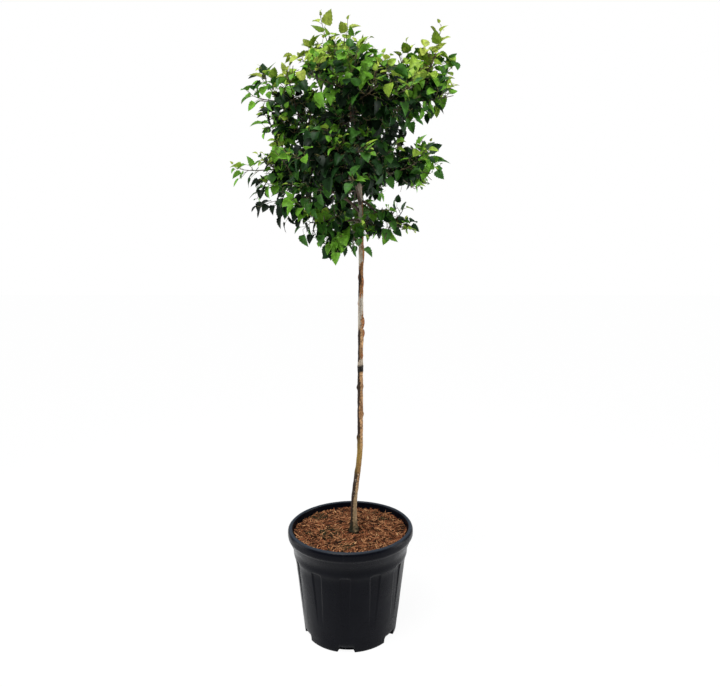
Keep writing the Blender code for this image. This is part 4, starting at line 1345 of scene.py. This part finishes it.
    def add_young_shoot(self, joint, along):
        """This year's growth: it turns up towards the light and carries small yellow-green leaves, smaller
        and smaller to its tip."""
        outward = (joint - CROWN_MIDDLE).normalized()
        up = Vector((0, 0, 0.55 + 0.6 * max(0.0, outward.z)))
        for attempt in range(YOUNG_TRIES):
            wander = Vector([self.fine.uniform(-YOUNG_WANDER, YOUNG_WANDER) for _ in range(3)])
            direction = (along * 0.4 + outward * 0.6 + up + wander).normalized()
            length = self.fine.uniform(*YOUNG_LENGTH) * YOUNG_SHRINK**attempt
            rise = Vector((0, 0, YOUNG_RISE * length))
            path = [joint + direction * (length * t) + rise * (t * t) for t in SPRAY_STEPS]
            if self.has_room(path[1:], YOUNG_REACH):
                break
        else:
            return
        self.twigs.append((path, SPRAY_RADIUS, SPRAY_RADIUS * 0.5))
        count = max(2, round(length / YOUNG_LEAF_SPACING))
        for n in range(count + 1):
            share = n / count
            place, way = point_on(path, 0.20 + 0.79 * share)
            tint = self.tint_of(place, 0.35 + 0.65 * share)
            self.add_leaf(place, way, n * GOLDEN_ANGLE, 0.80 - 0.42 * share, True, tint, ANYWHERE, 0.25)

    def sprays_along(self, path, first, kind):
        """Sprays by the golden angle along a twig, a leading shoot or a hanging one. Towards its end the
        leaves sit on the twig itself, and a leading shoot's are young and small."""
        length = length_of(path)
        shoot = kind == "shoot"
        count = max(2, round(length * (1 - first) / (SPRAY_SPACING * self.space.airy)))
        for k in range(count + 1):
            share = first + (0.98 - first) * k / count
            joint, along = point_on(path, share)
            if shoot:
                youth = max(0.0, (share - 0.5) / 0.5)
            else:
                # hanging shoots are painted paler, partly for young growth, partly as painted light against
                # the crown's shade
                youth = 0.35 * share + (HANGING_YOUTH if kind == "hanging" else 0.0)
            fill = self.fine.uniform(*FILL) if kind == "twig" else ANYWHERE
            if shoot and share > 0.55 or share > 0.9:
                tint = self.tint_of(joint, youth)
                vigour = 0.85 + 0.25 * min(1.0, max(0.0, (joint.z - CROWN_BASE) / 0.40))
                grown = 1 - 0.7 * min(1.0, max(0.0, (youth - 0.5) / 0.3))  # the last leaves are barely open
                scale = vigour * grown if shoot else 0.95
                self.add_leaf(joint, along, k * GOLDEN_ANGLE, scale, shoot, tint, fill, 0.35 * youth)
            else:
                self.add_spray(joint, along, k, youth, shoot, fill)

    def grow(self, entry, heading):
        """The stem, twigs and shoots in the plain model's order, and then all that they carry."""
        stem = self.make_stem(entry, heading)
        twigs = [self.side_twig(stem, k) for k in range(self.space.twigs)]
        shoots = [self.add_shoot(stem, tip) for tip in self.space.tips]
        hanging = [self.add_shoot(stem, end) for end in self.space.hanging]
        self.sprays_along(stem, SPRAYS_FROM["stem"], "twig")
        for path in [stem, *(twig for twig in twigs if twig)]:
            for share in YOUNG_PLACES:
                self.add_young_shoot(*point_on(path, share))
        for path in twigs:
            if path is not None:
                self.sprays_along(path, SPRAYS_FROM["twig"], "twig")
        for path in shoots:
            self.sprays_along(path, SPRAYS_FROM["shoot"], "shoot")
        for path in hanging:
            self.sprays_along(path, SPRAYS_FROM["hanging"], "hanging")


grown = []
for name, space in MASSES.items():
    carrier = trunk_line if space.fork is None else bough_path(space, 9)
    tip, before = Vector(carrier[-1]), Vector(carrier[-2])
    mass = Mass(name)
    mass.grow(tip, (tip - before).normalized())
    grown.append(mass)
twigs = [twig for mass in grown for twig in mass.twigs]
leaves = [leaf for mass in grown for leaf in mass.leaves]
print("twigs:", len(twigs), "leaves:", len(leaves))

# %% [markdown]
# ### Twigs
#
# All twigs become tubes in one mesh. They are given the same number of rings, so one array holds them all.

# %% Twigs
TWIG_RINGS = 7
TWIG_SIDES = 5
FOLIAGE_NODES = ["foliage_" + name for name in MASSES]


def evenly(path, count):
    """The path as so many points at even steps along its own line."""
    return curve_through(path, count) if len(path) > 2 else np.linspace(path[0], path[-1], count)


twig_paths = np.stack([evenly([tuple(point) for point in path], TWIG_RINGS) for path, _, _ in twigs])
twig_radii = np.linspace([foot for _, foot, _ in twigs], [tip for _, _, tip in twigs], TWIG_RINGS, axis=1)
twig_sway = rumple(twig_paths, 0.03, 61)[:, 1:-1, None] * twig_radii[:, 1:-1, None] * (0.5, 0.5, 0.3)
twig_paths[:, 1:-1] += twig_sway
twig_mesh = tubes_mesh("twigs", twig_paths, twig_radii, TWIG_SIDES)
twig_look = young_bark("twig_bark", colour(42, 34, 22), colour(84, 70, 42))
add_piece("twigs", twig_mesh, twig_look, FOLIAGE_NODES)

# %% [markdown]
# ### Leaves
#
# A birch leaf is a rounded triangle that ends in a long point, with toothed edges and straight side veins.
# It is one small grid here: rows run along the side veins, so they fold into shallow pleats and end in the
# teeth, and the blade is creased along its middle and hangs at its tip. Every leaf has the same forty-eight
# faces, bent by its own amounts.

# %% The leaf's shape
LEAF_ROWS = 13
LEAF_ACROSS = np.array([-1.0, -0.5, 0.0, 0.5, 1.0])
LEAF_WIDTH = 0.74  # of its length
LEAF_TOOTH = (1.10, 0.95)  # how far the edge stands out at a tooth and in between
LEAF_PLEAT = 0.010
LEAF_FOLD = (0.10, 0.75)
LEAF_DROOP = (0.05, 0.50)
LEAF_TWIST = 0.30


def leaf_outline():
    """Along, across and rise of each point of a leaf one unit long. The half width is t^0.40 (1-t)^1.30 at
    a share t of the way to the tip, scaled to the leaf's width. Every second row ends in a tooth."""
    t = np.linspace(0, 1, LEAF_ROWS)[:, None]
    half = t**0.40 * (1 - t) ** 1.30
    half = half / half.max() * LEAF_WIDTH / 2
    row = np.arange(LEAF_ROWS)[:, None]
    edge = np.abs(LEAF_ACROSS) == 1
    tooth = np.where(edge, np.where(row % 2 == 1, *LEAF_TOOTH), 1.0)
    across = LEAF_ACROSS * half * tooth
    along = t + (0.95 * t - 0.12) * np.abs(across)
    pleat = LEAF_PLEAT * np.where(row % 2 == 1, 1.0, -1.0) * (np.abs(LEAF_ACROSS) == 0.5) * (half > 0.05)
    return along, across, pleat


def leaf_points(root, way, up, length, fold, droop, twist):
    """Leaves (n, rows, columns, 3). The rise is the pleat + fold * |across| - droop * along^2 + twist *
    across * along, and a leaf lies along its way with its face turned up."""
    along, across, pleat = leaf_outline()
    side = unit(np.cross(way, up))
    face = np.cross(side, way)
    each = (slice(None), None, None)
    rise = pleat + fold[each] * np.abs(across) - droop[each] * along**2 + twist[each] * across * along
    shape = (along[..., None] * way[:, None, None] + across[..., None] * side[:, None, None]
             + rise[..., None] * face[:, None, None])
    return root[:, None, None] + length[:, None, None, None] * shape


leaf_dice = np.random.default_rng(71)
leaf_joint, leaf_root, leaf_way, leaf_up = (np.array([tuple(leaf[k]) for leaf in leaves]) for k in range(4))
leaf_length = np.array([leaf[4] for leaf in leaves])
leaf_tint = np.array([leaf[5] for leaf in leaves])
leaf_shapes = leaf_points(
    leaf_root, leaf_way, leaf_up, leaf_length,
    leaf_dice.uniform(*LEAF_FOLD, len(leaves)),
    leaf_dice.uniform(*LEAF_DROOP, len(leaves)),
    leaf_dice.normal(0, LEAF_TWIST, len(leaves)),
)
print("leaf lengths in mm:", (1000 * np.percentile(leaf_length, (5, 50, 95))).round())

# %% [markdown]
# ### Greens
#
# Young leaves at the tips are yellow-green. The greens also carry painted light: sprays high and far out on
# the crown take paler greens as painted sunlight, and those inside and below a deep blue-green as painted
# shade. A green belongs to a spray, so each is a piece of its own with a plain colour, only mottled a little
# by fine noise. The leaf's skin is waxy: a soft wide gloss, never a mirror.

# %% Leaf finish and pieces
# The greens run from painted shade to painted sunlight, as well as from old leaves to young ones.
GREENS = (  # (least tint, name, colour): the leaves of a tint or more take that green
    (-9.0, "shade", colour(4, 23, 4)),
    (0.12, "deep", colour(20, 52, 15)),
    (0.30, "green", colour(54, 98, 31)),
    (0.48, "fresh", colour(94, 144, 38)),
    (0.70, "bright", colour(132, 162, 54)),
    (0.94, "young", colour(154, 170, 68)),
)


def leaf_look(name, green):
    """A waxy leaf, mottled from three quarters of its green to a third more."""
    look = Look(name, {"Specular IOR Level": 0.13})
    pale = tuple(min(1.0, 1.35 * part + 0.004) for part in green[:3]) + (1.0,)
    dark = tuple(0.74 * part for part in green[:3]) + (1.0,)
    mottle = look.noise(0.009, 4, roughness=0.6).band(0.34, 0.68)
    look.finish(
        base_colour=look.blend(mottle, dark, pale),
        roughness=0.44 + mottle * 0.12,
        normal=look.bump(look.noise(0.0014, 2), 0.00012),
    )
    return look


leaf_grid = grid_faces(LEAF_ROWS, len(LEAF_ACROSS), wrap=False)[:, ::-1]
leaf_size = LEAF_ROWS * len(LEAF_ACROSS)
leaf_limits = [least for least, _, _ in GREENS] + [9.0]
for k, (least, name, green) in enumerate(GREENS):
    chosen = leaf_shapes[(leaf_tint >= least) & (leaf_tint < leaf_limits[k + 1])]
    first = (np.arange(len(chosen)) * leaf_size)[:, None, None]
    mesh = mesh_of("leaves_" + name, chosen.reshape(-1, 3), (leaf_grid + first).reshape(-1, 4))
    add_piece("leaves_" + name, mesh, leaf_look("leaf_" + name, green), FOLIAGE_NODES)

# %% Leaf stalks
STALK_RINGS = 4
STALK_SIDES = 4
STALK_RADII = (0.00055, 0.00038)
STALK_ARCH = 0.10  # how far it arches up, as a share of its length
STALK_GRIP = 0.04  # how far it runs on into the blade, as a share of the leaf's length
t = np.linspace(0, 1, STALK_RINGS)[None, :, None]
arch = np.array([0, 0, STALK_ARCH]) * np.linalg.norm(leaf_root - leaf_joint, axis=1)[:, None]
stalk_foot, stalk_top = leaf_joint[:, None], leaf_root[:, None]
stalk_end = stalk_top + (STALK_GRIP * leaf_length)[:, None, None] * leaf_way[:, None]
stalk_bend = (stalk_foot + stalk_top) / 2 + arch[:, None]
stalk_paths = (1 - t) ** 2 * stalk_foot + 2 * t * (1 - t) * stalk_bend + t**2 * stalk_end
stalk_radii = np.broadcast_to(np.linspace(*STALK_RADII, STALK_RINGS), stalk_paths.shape[:2])
stalk_mesh = tubes_mesh("leaf_stalks", stalk_paths, stalk_radii, STALK_SIDES)
stalk_look = Look("leaf_stalk", {"Specular IOR Level": 0.4})
stalk_look.finish(
    base_colour=stalk_look.blend(stalk_look.noise(0.02), colour(84, 96, 40), colour(128, 116, 60)),
    roughness=0.5,
)
add_piece("leaf_stalks", stalk_mesh, stalk_look, FOLIAGE_NODES)
